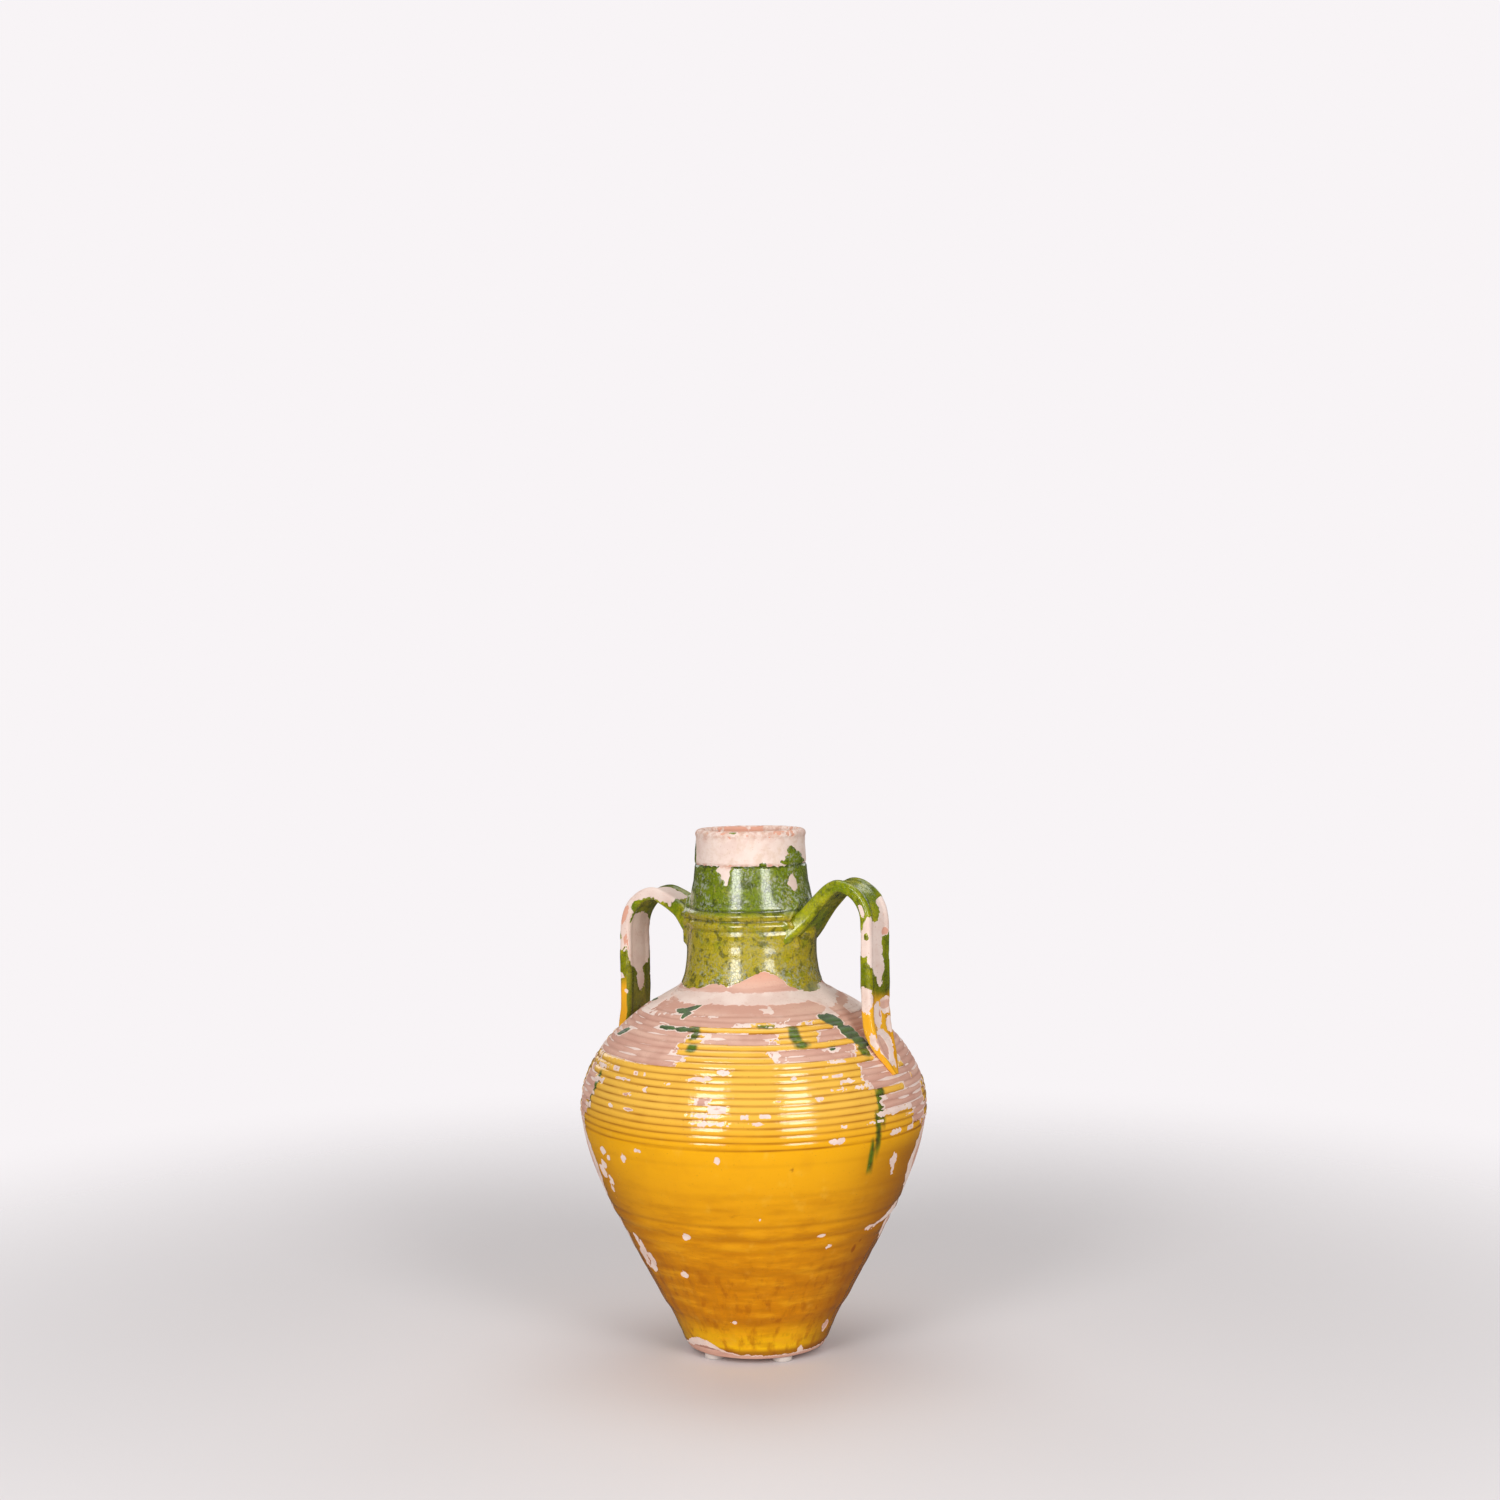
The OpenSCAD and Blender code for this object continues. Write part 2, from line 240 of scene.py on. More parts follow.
def cut(sheet, present, lift, drop):
    """The part of a sheet where present, in mm inside the edge, is above zero.
    It's lifted along the normals, a little less by its edge, and gets a thin wall down at the edge."""
    points, normals, faces, marks = sheet
    n = len(points)
    inside = present > 0
    count = inside[faces].sum(1)
    whole = faces[count == 3]
    parts = [whole]
    cuts = {}
    for number, wanted in ((1, True), (2, False)):
        odd = faces[count == number]
        spin = np.argmax(inside[odd] == wanted, 1)
        cuts[number] = np.stack([odd[np.arange(len(odd)), (spin + k) % 3] for k in range(3)], -1)
    one, two = cuts[1], cuts[2]
    pairs = np.concatenate([one[:, [0, 1]], one[:, [0, 2]], two[:, [0, 1]], two[:, [0, 2]]])
    keys, back = np.unique(pairs.min(1) * n + pairs.max(1), return_inverse=True)
    low, high = keys // n, keys % n
    share = present[low] / (present[low] - present[high])
    share = np.clip(share, 0.02, 0.98)[:, None]
    back = back.ravel() + n
    e1, e2, e3, e4 = np.split(back, np.cumsum([len(one), len(one), len(two)]))
    parts.append(np.stack([one[:, 0], e1, e2], -1))
    parts.append(np.stack([e3, two[:, 1], two[:, 2]], -1))
    parts.append(np.stack([e3, two[:, 2], e4], -1))
    rim = np.concatenate([np.stack([e1, e2], -1), np.stack([e4, e3], -1)])
    every = np.concatenate([points, points[low] * (1 - share) + points[high] * share])
    facing_out = np.concatenate([normals, normals[low] * (1 - share) + normals[high] * share])
    facing_out /= np.maximum(np.linalg.norm(facing_out, axis=1, keepdims=True), 1e-9)
    inset = np.concatenate([present, np.zeros(len(low))])
    height = lift - 0.35 * (lift - drop) * (1 - eased(inset / 1.6))
    top = every + facing_out * height[:, None]
    mixed = {k: np.concatenate([m, m[low] * (1 - share[:, 0]) + m[high] * share[:, 0]]) for k,
        m in marks.items()}
    m = len(every)
    side_top, side_low = rim + m, rim + 2 * m
    wall = np.concatenate([
        np.stack([side_top[:, 1], side_top[:, 0], side_low[:, 0]], -1),
        np.stack([side_top[:, 1], side_low[:, 0], side_low[:, 1]], -1)])
    triangles = np.concatenate(parts + [wall])
    stacked = np.concatenate([top, top, every + facing_out * drop])
    used, new = np.unique(triangles, return_inverse=True)
    marks = {k: np.concatenate([v, v, v])[used] for k, v in mixed.items()}
    return stacked[used], new.reshape(-1, 3), marks


def piece(name, points, faces, marks, material, node=None):
    """A mesh object from points in mm; it rides on the jar, and stands for a CAD node if one is named."""
    mesh = bpy.data.meshes.new(name)
    mesh.vertices.add(len(points))
    mesh.vertices.foreach_set("co", (points * MM).astype(np.float32).ravel())
    mesh.loops.add(faces.size)
    mesh.loops.foreach_set("vertex_index", faces.astype(np.int32).ravel())
    mesh.polygons.add(len(faces))
    mesh.polygons.foreach_set("loop_start", np.arange(0, faces.size, 3, dtype=np.int32))
    mesh.polygons.foreach_set("use_smooth", np.ones(len(faces), bool))
    for key, values in marks.items():
        mesh.attributes.new(key, "FLOAT", "POINT").data.foreach_set("value", values.astype(np.float32))
    mesh.update()
    mesh.validate()
    mesh.materials.append(material)
    made = bpy.data.objects.new(name, mesh)
    bpy.context.scene.collection.objects.link(made)
    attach(made, "root")
    if node:
        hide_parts(node)
    return made


def turned(heights, columns):
    """Sheet of the jar's outer surface between heights: outline plus relief, turned round the axis.
    Its marks are the direction in degrees and the height."""
    turn = np.arange(columns) * 360.0 / columns - 180
    z, t = np.meshgrid(heights, turn, indexing="ij")
    side, up = outward(z)
    swell = relief(t, z)
    a = np.radians(t + FRONT)
    r = outline(z) + swell * side
    points = np.stack([r * np.cos(a), r * np.sin(a), z + swell * up], -1).reshape(-1, 3)
    normals = np.stack([side * np.cos(a), side * np.sin(a), up], -1).reshape(-1, 3)
    faces = facing(points, ring_faces(len(heights), columns), normals)
    return points, normals, faces, t.ravel(), z.ravel()


def clay_ring(name, low, high, step, columns, material, node):
    """A closed ring of thrown clay: the outer surface under the coats, and a plain inner wall a wall's thickness in."""
    points, normals, _, turn, height = turned(evenly(low, high, step), columns)
    rows = len(points) // columns
    inner_z = np.linspace(high, low, max(6, rows // 4))
    side, up = outward(inner_z)
    a = np.radians(turn[:columns] + FRONT)
    r = np.maximum(outline(inner_z) - (WALL + COAT) * side, MOUTH)
    z = inner_z - (WALL + COAT) * up
    z = np.clip(z, 17, 495)
    inner = np.stack([r[:, None] * np.cos(a), r[:, None] * np.sin(a), np.repeat(z[:, None], columns, 1)], -1)
    every = np.concatenate([points - normals * COAT, inner.reshape(-1, 3)])
    faces = ring_faces(rows + len(inner_z), columns, closed=True)
    guide = np.concatenate([normals, -normals[:1].repeat(len(inner_z) * columns, 0) * 0])
    faces = facing(every, faces, guide)
    groove = np.concatenate([groove_depth(turn, height), np.zeros(len(inner_z) * columns)])
    return piece(name, every, faces, {"groove": groove}, material, node)


# ---------------------------------------------------------------- where glaze and slip are left

# Each loss or remnant: degrees right of the front, height, half width and half height in mm, tilt in degrees.
LOST_TO_CLAY = [
    (-6, 315, 37, 3.2, 0), (-47, 296, 55, 6.5, 0), (-52, 311, 52, 7.5, 0), (25, 303, 44, 5, 0),
    (37, 315, 18, 4.5, 0), (49, 285, 25, 5, 0),
    (52, 271, 34, 6, 0), (56, 253.5, 34, 4.6, 0), (70, 246, 20, 20, 0), (63, 262, 9, 4, 0),
    (-76, 262, 22, 12, 0), (-80, 240, 16, 14, 0),
    (-17, 264, 12, 4.2, 0), (-12, 257, 5, 3, 0), (2, 242.5, 9, 1.1, 0), (-44, 251, 10, 2.2, 0),
    (-46, 264, 9, 1.8, 0), (-50, 278, 10, 2, 0),
    (57, 296, 20, 12, 0), (64, 270, 12, 9, 0), (84, 190, 34, 36, 0), (78, 126, 14, 14, 0),
    (-85, 188, 30, 44, 0),
    (-64, 92, 4, 6, -25), (-82, 125, 9, 26, 0), (80, 222, 16, 6, 0), (72, 206, 10, 3, 0),
    (76, 214, 8, 1.6, 0), (-10, 289, 4, 1.2, 0), (8, 264, 5, 1.2, 0),
    (46, 450, 2.8, 3.6, 0), (58, 30, 6, 8, 0), (84, 298, 46, 34, 0),
]
LOST_TO_SLIP = [
    (51, 246, 25, 2.8, 0), (62, 236, 12, 1.6, 0), (69, 229, 10, 1.6, 0), (58, 276, 18, 2, 0),
    (34, 279, 9, 1.8, 0), (38, 271, 6, 1.4, 0),
    (31, 291, 10, 1.8, 0), (-66, 270, 10, 2, 0), (-70, 258, 9, 1.8, 0), (-72, 246, 8, 1.6, 0),
    (-68, 284, 12, 2, 0), (-12, 257, 9, 3.8, 0), (-16, 249, 15, 1.9, 0), (-16, 242.5, 19, 1.4, 0),
    (-3, 249, 4, 2, 0), (3.5, 249, 5, 2, 0),
    (-10, 289, 6.5, 3, 0), (-19, 281, 11, 2, 0), (22, 264, 5, 2, 0), (30, 268, 8, 1.1, 0),
    (27, 226, 6, 2.4, 0), (53, 222, 7, 2.4, 0),
    (29, 235, 3, 1.2, 0), (-39, 269, 3, 1.8, 0), (-53, 249, 3, 1.8, 0), (-30, 279, 3, 1.6, 0),
    (40, 240, 5, 1.2, 0), (14, 285, 3, 1, 0),
    (-12, 211, 3.2, 3, 20), (-60, 206, 5, 4.5, 0), (-57, 201, 4, 3, 40), (-48, 204, 4, 4, 0),
    (-62, 192, 7, 4.5, 10), (-65, 184, 8, 8, -30), (-60, 177, 4, 7, 15), (-62, 168, 2.2, 6, 0),
    (-41, 214, 4, 2, 0), (2, 154, 1.8, 2, 0),
    (-28, 133, 5, 4, 0), (27, 133, 5, 2.1, 0), (32, 120, 3.2, 1.8, 0), (-36, 91, 5, 5, 15),
    (-63, 119, 5, 7, 0), (-61, 110, 6, 10, -20), (-57, 100, 7, 9, -10), (-59, 91, 5, 9, -30),
    (-64, 100, 7, 13, -30), (-14, 44, 3, 2.2, 0),
    (53, 197, 6, 8, 0), (54, 186, 2.5, 5, 10), (69, 139, 38, 5.2, 16), (53, 131, 7, 3, 10),
    (81, 188, 40, 42, 0), (76, 126, 19, 19, 0), (-82, 188, 36, 52, 0), (-78, 122, 12, 30, 0),
    (36, 12, 4.5, 4, 0), 
    (46, 450, 7, 8.6, 0), (-28, 464, 7.5, 5, 0), (-26, 458, 5, 6, 0), (-25, 452.5, 2.6, 4.5, 0),
    (-150, 120, 9, 13, 20), (150, 170, 7, 5, 0), (-176, 70, 5, 6, 0),
    (118, 96, 12, 8, 10), (165, 205, 9, 5, 0), (-128, 190, 8, 10, 0), (-160, 430, 8, 6, 0),
    (150, 395, 5, 8, 0), (100, 440, 6, 5, 0),
]
LEFT_ON = [
    (-39, 336, 10, 4.6, 40), (-42, 334.5, 10, 4, -8), (-38, 332, 6, 4.2, 70), (-73, 311, 11, 3.6, 25),
    (55, 350, 15, 4.6, 6), (42, 326, 14, 8, -28),
    (46.5, 315, 12, 9.5, -45), (49, 306, 9, 7, -20), (-34, 321, 8, 2.4, 0), (-43, 321, 9, 2, 0),
    (33, 303.5, 6, 1.6, 0), (-90, 336, 8, 3, 20),
    (130, 330, 9, 4, 30), (54, 470, 19, 4.6, 0), (51, 475, 12, 6, 0), (47, 480, 6, 6, 0),
    (-84, 472, 8, 15, 0), (-17, 499, 3, 1.5, 0),
    (12, 467.4, 3.5, 2, 0), (150, 480, 10, 6, 20), (-150, 471, 14, 7, 0),
]
YELLOW_TOP = [(-180, 309), (-130, 300), (-105, 312), (-80, 290), (-62, 290), (-37, 291), (-33, 306),
    (-30, 324), (-10, 324.5), (12, 326),
              (30, 326), (37, 327), (41, 318), (47, 303), (62, 297), (100, 315), (140, 306), (180, 309)]
GREEN_LOW = [(-180, 352), (-120, 356), (-60, 351), (-46, 353), (-38, 357), (-28, 357), (-20, 355.5),
    (-8, 361), (5, 367), (12, 368.5), (21, 365),
             (31, 355), (40, 350.5), (60, 352), (110, 356), (150, 349), (180, 352)]
DRIPS = [(-27, 319, 6, 9, 18), (-25, 306.5, 5, 5, 0), (6, 324, 7, 3, 0), (13, 325, 5, 2.5, 0),
    (18.5, 317, 5.5, 11, 0), (20, 309, 7, 4, 0),
         (48, 299, 8, 7, 0), (46.5, 273, 4, 18, 0), (45, 250, 4.2, 16, 0), (43, 226, 3.6, 20, 0),
         (41, 207, 3.6, 15, 0),
         (-67, 268, 4, 11, 0), (-69, 250, 3, 8, 0), (66, 262, 4, 16, 0), (-40, 321, 8, 2.4, 0),
         (120, 300, 6, 20, 0), (128, 270, 3, 16, 0),
         (-140, 290, 5, 18, 0), (-170, 305, 6, 12, 0), (165, 285, 3.4, 22, 0), (-110, 262, 3, 14, 0)]

COMB_Z = np.linspace(200, 345, 600)
COMB_P = comb_place(COMB_Z)


def rows_of(turn, height):
    """In the combed part a whole ridge flakes at once: the middle height of the ridge a place is on, whether it is
    combed at all, and a slow noise along each ridge that differs from ridge to ridge."""
    u = comb_place(height) + comb_wander(turn)
    row = np.floor(u)
    combed = (u > 0) & (u < COMBS)
    middle = np.where(combed, np.interp(row + 0.5 - comb_wander(turn), COMB_P, COMB_Z), height)
    arc = np.radians(turn) * outline(height)
    line = np.stack([arc, row * 211.0, np.zeros_like(arc)], -1)
    return middle, combed, line


def clear_of(spots, turn, height, rows=None, power=1.35):
    """Distance in mm outside the nearest of some leaning ovals on the jar; below zero inside one.
    With rows, tall ovals take whole ridges of the combed part, and low ones lie along a ridge's crown."""
    nearest = np.full(turn.shape, 99.0)
    s, r = run(height), outline(height)
    if rows is not None:
        middle_of_row, combed, line = rows
        row_s = run(middle_of_row)
        shift = np.where(combed, 6 * grain(line, 26, 5) + 2 * grain(line, 8, 6), 0)
    for at, middle, wide, high, tilt in spots:
        u = np.radians(across_turn(turn, at)) * r
        v = s - run(middle)
        if rows is not None and 221 < middle < 333:
            u = u + shift * min(1, wide / 12)
            if high > 3:
                first = math.floor(comb_place(middle - high) + 0.5)
                last = max(first + 1, math.floor(comb_place(middle + high) + 0.5))
                ends = run(np.interp([first, last], COMB_P, COMB_Z))
                v = np.where(combed, row_s - ends.mean() + 0.12 * (s - row_s), s - ends.mean())
                tall = (ends[1] - ends[0]) / 2 + 0.3
                far = np.maximum(np.abs(u) / wide, np.abs(v) / tall)
                far = np.maximum(far, np.sqrt((u / wide) ** 2 + (v / tall) ** 2) / 1.25)
            else:
                crown = np.interp(np.floor(comb_place(middle)) + 0.5, COMB_P, COMB_Z)
                v = s - run(crown)
                tall = high
                far = np.sqrt(np.abs(u / wide) ** 3 + np.abs(v / tall) ** 2)
        else:
            c, k = math.cos(math.radians(tilt)), math.sin(math.radians(tilt))
            u, v = u * c + v * k, v * c - u * k
            tall = high
            far = (np.abs(u / wide) ** power + np.abs(v / tall) ** power) ** (1 / power)
        nearest = np.minimum(nearest, (far - 1) * min(wide, tall))
    return nearest


def coats_left(turn, height):
    """How far inside the glaze, and inside the slip, each place on the jar is, in mm; below zero where it has gone."""
    places = on_jar(turn, height)
    ragged = jagged(places, 7, 21) + 0.4 * jagged(places, 3, 23)
    rows = rows_of(turn, height)
    middle, combed, line = rows
    judged = np.where(combed, middle + 0.12 * (height - middle), height)
    around = across_turn(turn, 0)
    top = np.interp(around, *np.array(YELLOW_TOP).T)
    below_top = run(top) - run(judged) + 1.2 * ragged + 2.5 * grain(line, 30, 7) * combed
    foot = 9.5 + 13 * np.exp(-(((around + 47) / 20) ** 2)) + 5 * np.exp(-(((around - 95) / 25) ** 2))
    above_foot = run(height) - run(foot) + 1.1 * ragged
    to_clay = clear_of(LOST_TO_CLAY, turn, height, rows) + 1.1 * ragged
    to_slip = clear_of(LOST_TO_SLIP, turn, height, rows) + 1.5 * jagged(places, 5.2, 25) - 0.4
    # small chips off the crowns of the ridges, more of them towards both sides
    flat = line * [0.45, 1, 1]
    worn = 0.75 * np.exp(-(((around - 72) / 22) ** 2)) + 0.78 * np.exp(-(((around + 78) / 20) ** 2))
    worn = worn + 0.34 * eased((middle - 258) / 26) * eased((np.abs(around) - 16) / 20)
    worn = worn + 0.25 * np.clip(grain(places, 120, 31), 0, 1) * (np.abs(around) > 80)
    chance = grain(flat, 7, 41) + 0.45 * grain(flat, 2.4, 42) + worn
    off_crown = np.abs(run(height) - run(middle))
    chips = np.where(combed, np.maximum((1.0 - chance) * 6, off_crown - 3.1 * worn - 0.9) + 0.35 * ragged, 9)
    worn_low = 0.5 * np.exp(-(((around - 84) / 16) ** 2)) + 0.42 * np.exp(-(((around + 84) / 14) ** 2))
    worn_low = worn_low + 0.2 * np.clip(grain(places, 150, 32), 0, 1) * (np.abs(around) > 90)
    low_chips = (1.3 - rough(places * [1, 1, 0.6], 26, 43) - worn_low) * 8 + 0.5 * ragged
    low_chips = np.where((~combed) & (height < 230), low_chips, 9)
    yellow = np.minimum.reduce([below_top, above_foot, to_clay, to_slip, chips, low_chips])
    green_low = np.interp(around, *np.array(GREEN_LOW).T)
    above_low = run(height) - run(green_low) + 1.1 * ragged
    below_collar = run(466.3) - run(height) + 1.1 * np.clip(ragged, -1, 0.6)
    green = np.minimum.reduce([above_low, below_collar, to_clay, to_slip, (1.6 - rough(places, 16, 47)) * 6])
    left_on = -clear_of(LEFT_ON, turn, height) + 1.1 * ragged
    glaze = np.maximum.reduce([yellow, green, left_on])
    # slip runs a little past the glaze, survives in some grooves, and lies bare in a band round the foot of the neck
    spare = 0.9 + 1.0 * grain(places, 11, 52)
    slip = np.minimum.reduce([below_top + 1.5 + 1.8 * grain(places, 24, 51),
        run(height) - run(foot - 1.4 - 7 * np.exp(-(((around + 50) / 18) ** 2))) + ragged,
                              to_clay + spare, chips + 1.3 + 1.2 * grain(flat, 5, 53), low_chips + 2.5])
    in_groove = 1.4 * (groove_depth(turn, height) - 0.45) + 1.5 * (grain(places * [1, 1, 2.5], 17, 54) - 0.5)
    slip = np.maximum(slip, np.where((height < 325) & combed, in_groove, -9))
    band = 4.3 - np.abs(height - 345 + 1.2 * grain(places, 30,
        55)) + 0.9 * ragged - 3 * eased((np.abs(around + 5) - 45) / 20)
    left_band = 0.2 - np.abs(height - 331 - 1.5 * grain(places, 20,
        59)) + 1.2 * ragged - 3 * eased((around + 25) / 20)
    side_wash = -4.5 + 7 * (grain(places, 22,
        56) - 0.15) + 5 * eased((np.abs(around) - 50) / 30) + 5 * np.exp(-(((around - 50) / 15) ** 2)) + ragged
    side_wash = np.where(height > 328, side_wash, -9)
    neck_slip = np.minimum.reduce([above_low + 0.4 + 0.9 * grain(places, 9, 57), below_collar + 0.7,
        to_clay + spare])
    slip = np.maximum.reduce([slip, band, left_band, side_wash, np.where(height > 340, neck_slip, -9)])
    over_lip = 0.7 * (505 - height) + ragged
    lip_wear = 3.9 * eased((height - 489) / 8) * (0.5 + np.clip(grain(places, 4.2,
        58) + 0.5 * grain(places, 2, 60), -1, 1))
    on_collar = np.where(height > 465.5, np.minimum(3.0 + 0.9 * ragged - lip_wear,
        height - 467.4 + 0.9 * ragged), -9)
    slip = np.maximum.reduce([slip, np.minimum(on_collar, over_lip), left_on + 1.2])
    return glaze, slip


def colours_of(turn, height):
    """Marks for the glazes: how green, how dark, how deep the glaze has pooled, and how much darker and browner the
    lower belly is towards its sides, partly darker glaze and partly painted shade.
    """
    places = on_jar(turn, height)
    blotch = rough(places * [1, 1, 0.3], 4, 61)
    run_down = -clear_of(DRIPS, turn, height, power=3) + 0.9 * blotch
    green = np.maximum(0.92 * eased((run_down + 1.6) / 3), eased((height - 341) / 4))
    left_on = eased(-clear_of(LEFT_ON, turn, height) / 1.5 + 1.6) * (height > 300)
    green = np.maximum(green, left_on)
    pooled = groove_depth(turn, height) ** 1.6 * (0.8 + 0.25 * grain(places, 14, 62))
    for at, size, spread in RINGS:
        if size < 0:
            pooled = pooled + 0.75 * -size * np.exp(-(((height - at) / (0.8 * spread)) ** 2)) * (0.7 + 0.4 * grain(places * [1, 1, 2], 40, 63))
    for at, size, spread in NECK_RINGS:
        if size < 0:
            pooled = pooled + 1.1 * -size * np.exp(-(((height - at) / spread) ** 2))
    stains = [(48, 112, 3.5, 6, 0), (51, 119, 2, 2, 0), (44, 104, 2.5, 2, 0), (12, 202, 1.4, 1.4, 0),
        (20, 30, 5, 1.2, 0), (-8, 157, 3, 1, 30)]
    pooled = np.maximum(pooled, 0.9 * eased((-clear_of(stains, turn, height) + 1.2 * blotch) / 1.5))
    around = across_turn(turn, 0)
    # Darker orange-brown low on the belly towards both sides, fading out at the back: partly darker glaze and partly
    # painted shade where the sides turn away from the lamps.
    amber_and_side_shade = eased((around - 22) / 45) * eased((228 - height) / 30) + 0.55 * eased((-around - 35) / 40) * eased((215 - height) / 40)
    amber_and_side_shade = amber_and_side_shade * eased((165 - np.abs(around)) / 60)
    return {"green": np.clip(green, 0, 1), "pooled": np.clip(pooled, 0, 1.4),
        "dim": left_on * (height < 460), "amber_and_side_shade": amber_and_side_shade}


# ---------------------------------------------------------------- pulled strap handles


def strap_path(arm, arch_top, reach, tight):
    """Middle line of a strap in its own upright plane: an arm that slants up out of the neck, a tight turn down,
    a straight run, and a tail that leans out along the shoulder."""
    b = np.radians(np.linspace(90, 0, 40))
    arm_x, arm_z = np.array(arm).T
    x = np.concatenate([arm_x, reach - tight + tight * np.cos(b)])
    z = np.concatenate([arm_z, arch_top - tight + tight * np.sin(b)])
    tail_x, tail_z = [reach - 0.5, reach, 139.3, 143.5, 149.5, 154.5, 158], [345, 330, 316, 304, 292, 282,
        274.5]
    x, z = np.concatenate([x, tail_x]), np.concatenate([z, tail_z])
    s = np.concatenate([[0], np.cumsum(np.hypot(np.diff(x), np.diff(z)))])
    fine = np.linspace(0, s[-1], 400)
    x, z = np.interp(fine, s, x), np.interp(fine, s, z)
    weights = np.hanning(31) / np.hanning(31).sum()
    pad = lambda q: np.convolve(np.concatenate([2 * q[0] - q[15:0:-1], q, 2 * q[-1] - q[-2:-17:-1]]),
        weights, "valid")
    return pad(x), pad(z)


def strap(which):
    """Sheet of a pulled strap: a dished oval carried along its path, spread where it's pressed onto the neck and
    drawn out to a point at the tail. Its marks are the length along it and its place round the oval."""
    if which == "right":
        x, z = strap_path([(48, 396), (60, 407), (72.5, 419.5), (84.5, 433), (94.5, 442.5)], 449.5, 137.5, 33)
        turned_round, seed = 0, 3
    else:
        x, z = strap_path([(48, 398), (58, 407), (71.6, 419), (88, 428)], 434.5, 138.8, 36)
        turned_round, seed = 180, 8
    s = np.concatenate([[0], np.cumsum(np.hypot(np.diff(x), np.diff(z)))])
    length = s[-1]
    rows = int(length / 1.25)
    along = np.linspace(0, length, rows)
    x, z = np.interp(along, s, x), np.interp(along, s, z)
    tx, tz = np.gradient(x), np.gradient(z)
    size = np.hypot(tx, tz)
    tx, tz = tx / size, tz / size
    to_tip = length - along
    slow = np.stack([along, np.zeros(rows), np.zeros(rows)], -1)
    wide = 39 + 22 * np.exp(-((along / 26) ** 2)) + 1.2 * grain(slow, 38, seed)
    wide = wide * (0.14 + 0.86 * np.sin(np.clip(to_tip / 52, 0, 1) * np.pi / 2) ** 0.85)
    thick = 12.6 + 6.5 * np.exp(-((along / 50) ** 2)) + 0.7 * grain(slow, 30, seed + 1)
    thick = thick * (0.34 + 0.66 * eased(to_tip / 44))
    columns = 112
    a = np.linspace(0, 2 * np.pi, 4001)
    v = np.sign(np.cos(a)) * np.abs(np.cos(a)) ** 0.34
    q = np.sign(np.sin(a)) * np.abs(np.sin(a)) ** 0.42
    round_it = np.concatenate([[0], np.cumsum(np.hypot(19 * np.diff(v), 6.2 * np.diff(q)))])
    even = np.arange(columns) / columns * round_it[-1]
    v, q = np.interp(even, round_it, v), np.interp(even, round_it, q)
    off = 0.06 * grain(slow, 45, seed + 2)[:, None]
    dish = np.where(q > 0, 0.3, 0.22) * (1 - eased((np.abs(v - off) - 0.5) / 0.3))
    dish = dish * (1 - 0.5 * np.exp(-along / 20))[:, None] * eased(to_tip / 40)[:, None]
    y = wide[:, None] / 2 * v + 1.2 * grain(slow, 60, seed + 4)[:, None]
    n = thick[:, None] / 2 * q * (1 - dish)
    px = x[:, None] - tz[:, None] * n
    pz = z[:, None] + tx[:, None] * n
    points = np.stack([px, y, pz], -1)
    bumps = 0.35 * grain(points, 20, seed + 5) + 0.18 * grain(points * [1, 0.3, 1], 8, seed + 6)
    ds, da = np.gradient(points, axis=0), np.roll(points, -1, 1) - np.roll(points, 1, 1)
    normals = np.cross(da, ds)
    normals /= np.linalg.norm(normals, axis=-1, keepdims=True) + 1e-9
    centre = np.stack([x, 0 * x, z], -1)[:, None]
    if ((points - centre) * normals).sum() < 0:
        normals = -normals
    points = points + normals * bumps[..., None]
    c, k = math.cos(math.radians(turned_round)), math.sin(math.radians(turned_round))
    spin = np.array([[c, k, 0], [-k, c, 0], [0, 0, 1]])
    points, normals = points @ spin, normals @ spin
    flat_points, flat_normals = points.reshape(-1, 3), normals.reshape(-1, 3)
    faces = ring_faces(rows, columns)
    # close the pointed tail, and the end inside the neck, with a fan
    ends = np.stack([points[0].mean(0), points[-1].mean(0)])
    j = np.arange(columns)
    j2 = (j + 1) % columns
    m, low = rows * columns, (rows - 1) * columns
    fans = np.concatenate([np.stack([np.full(columns, m), j2, j], -1),
        np.stack([np.full(columns, m + 1), low + j, low + j2], -1)])
    flat_points = np.concatenate([flat_points, ends])
    flat_normals = np.concatenate([flat_normals, [[0, 0, 0], [0, 0, -1]]])
    faces = facing(flat_points, np.concatenate([faces, fans]), flat_normals)
    lay = np.repeat(along, columns), np.tile(v, rows), np.tile(q, rows), np.repeat(z, columns)
    lay = [np.concatenate([p, p[[0, -1]]]) for p in lay]
    return flat_points, flat_normals, faces, lay


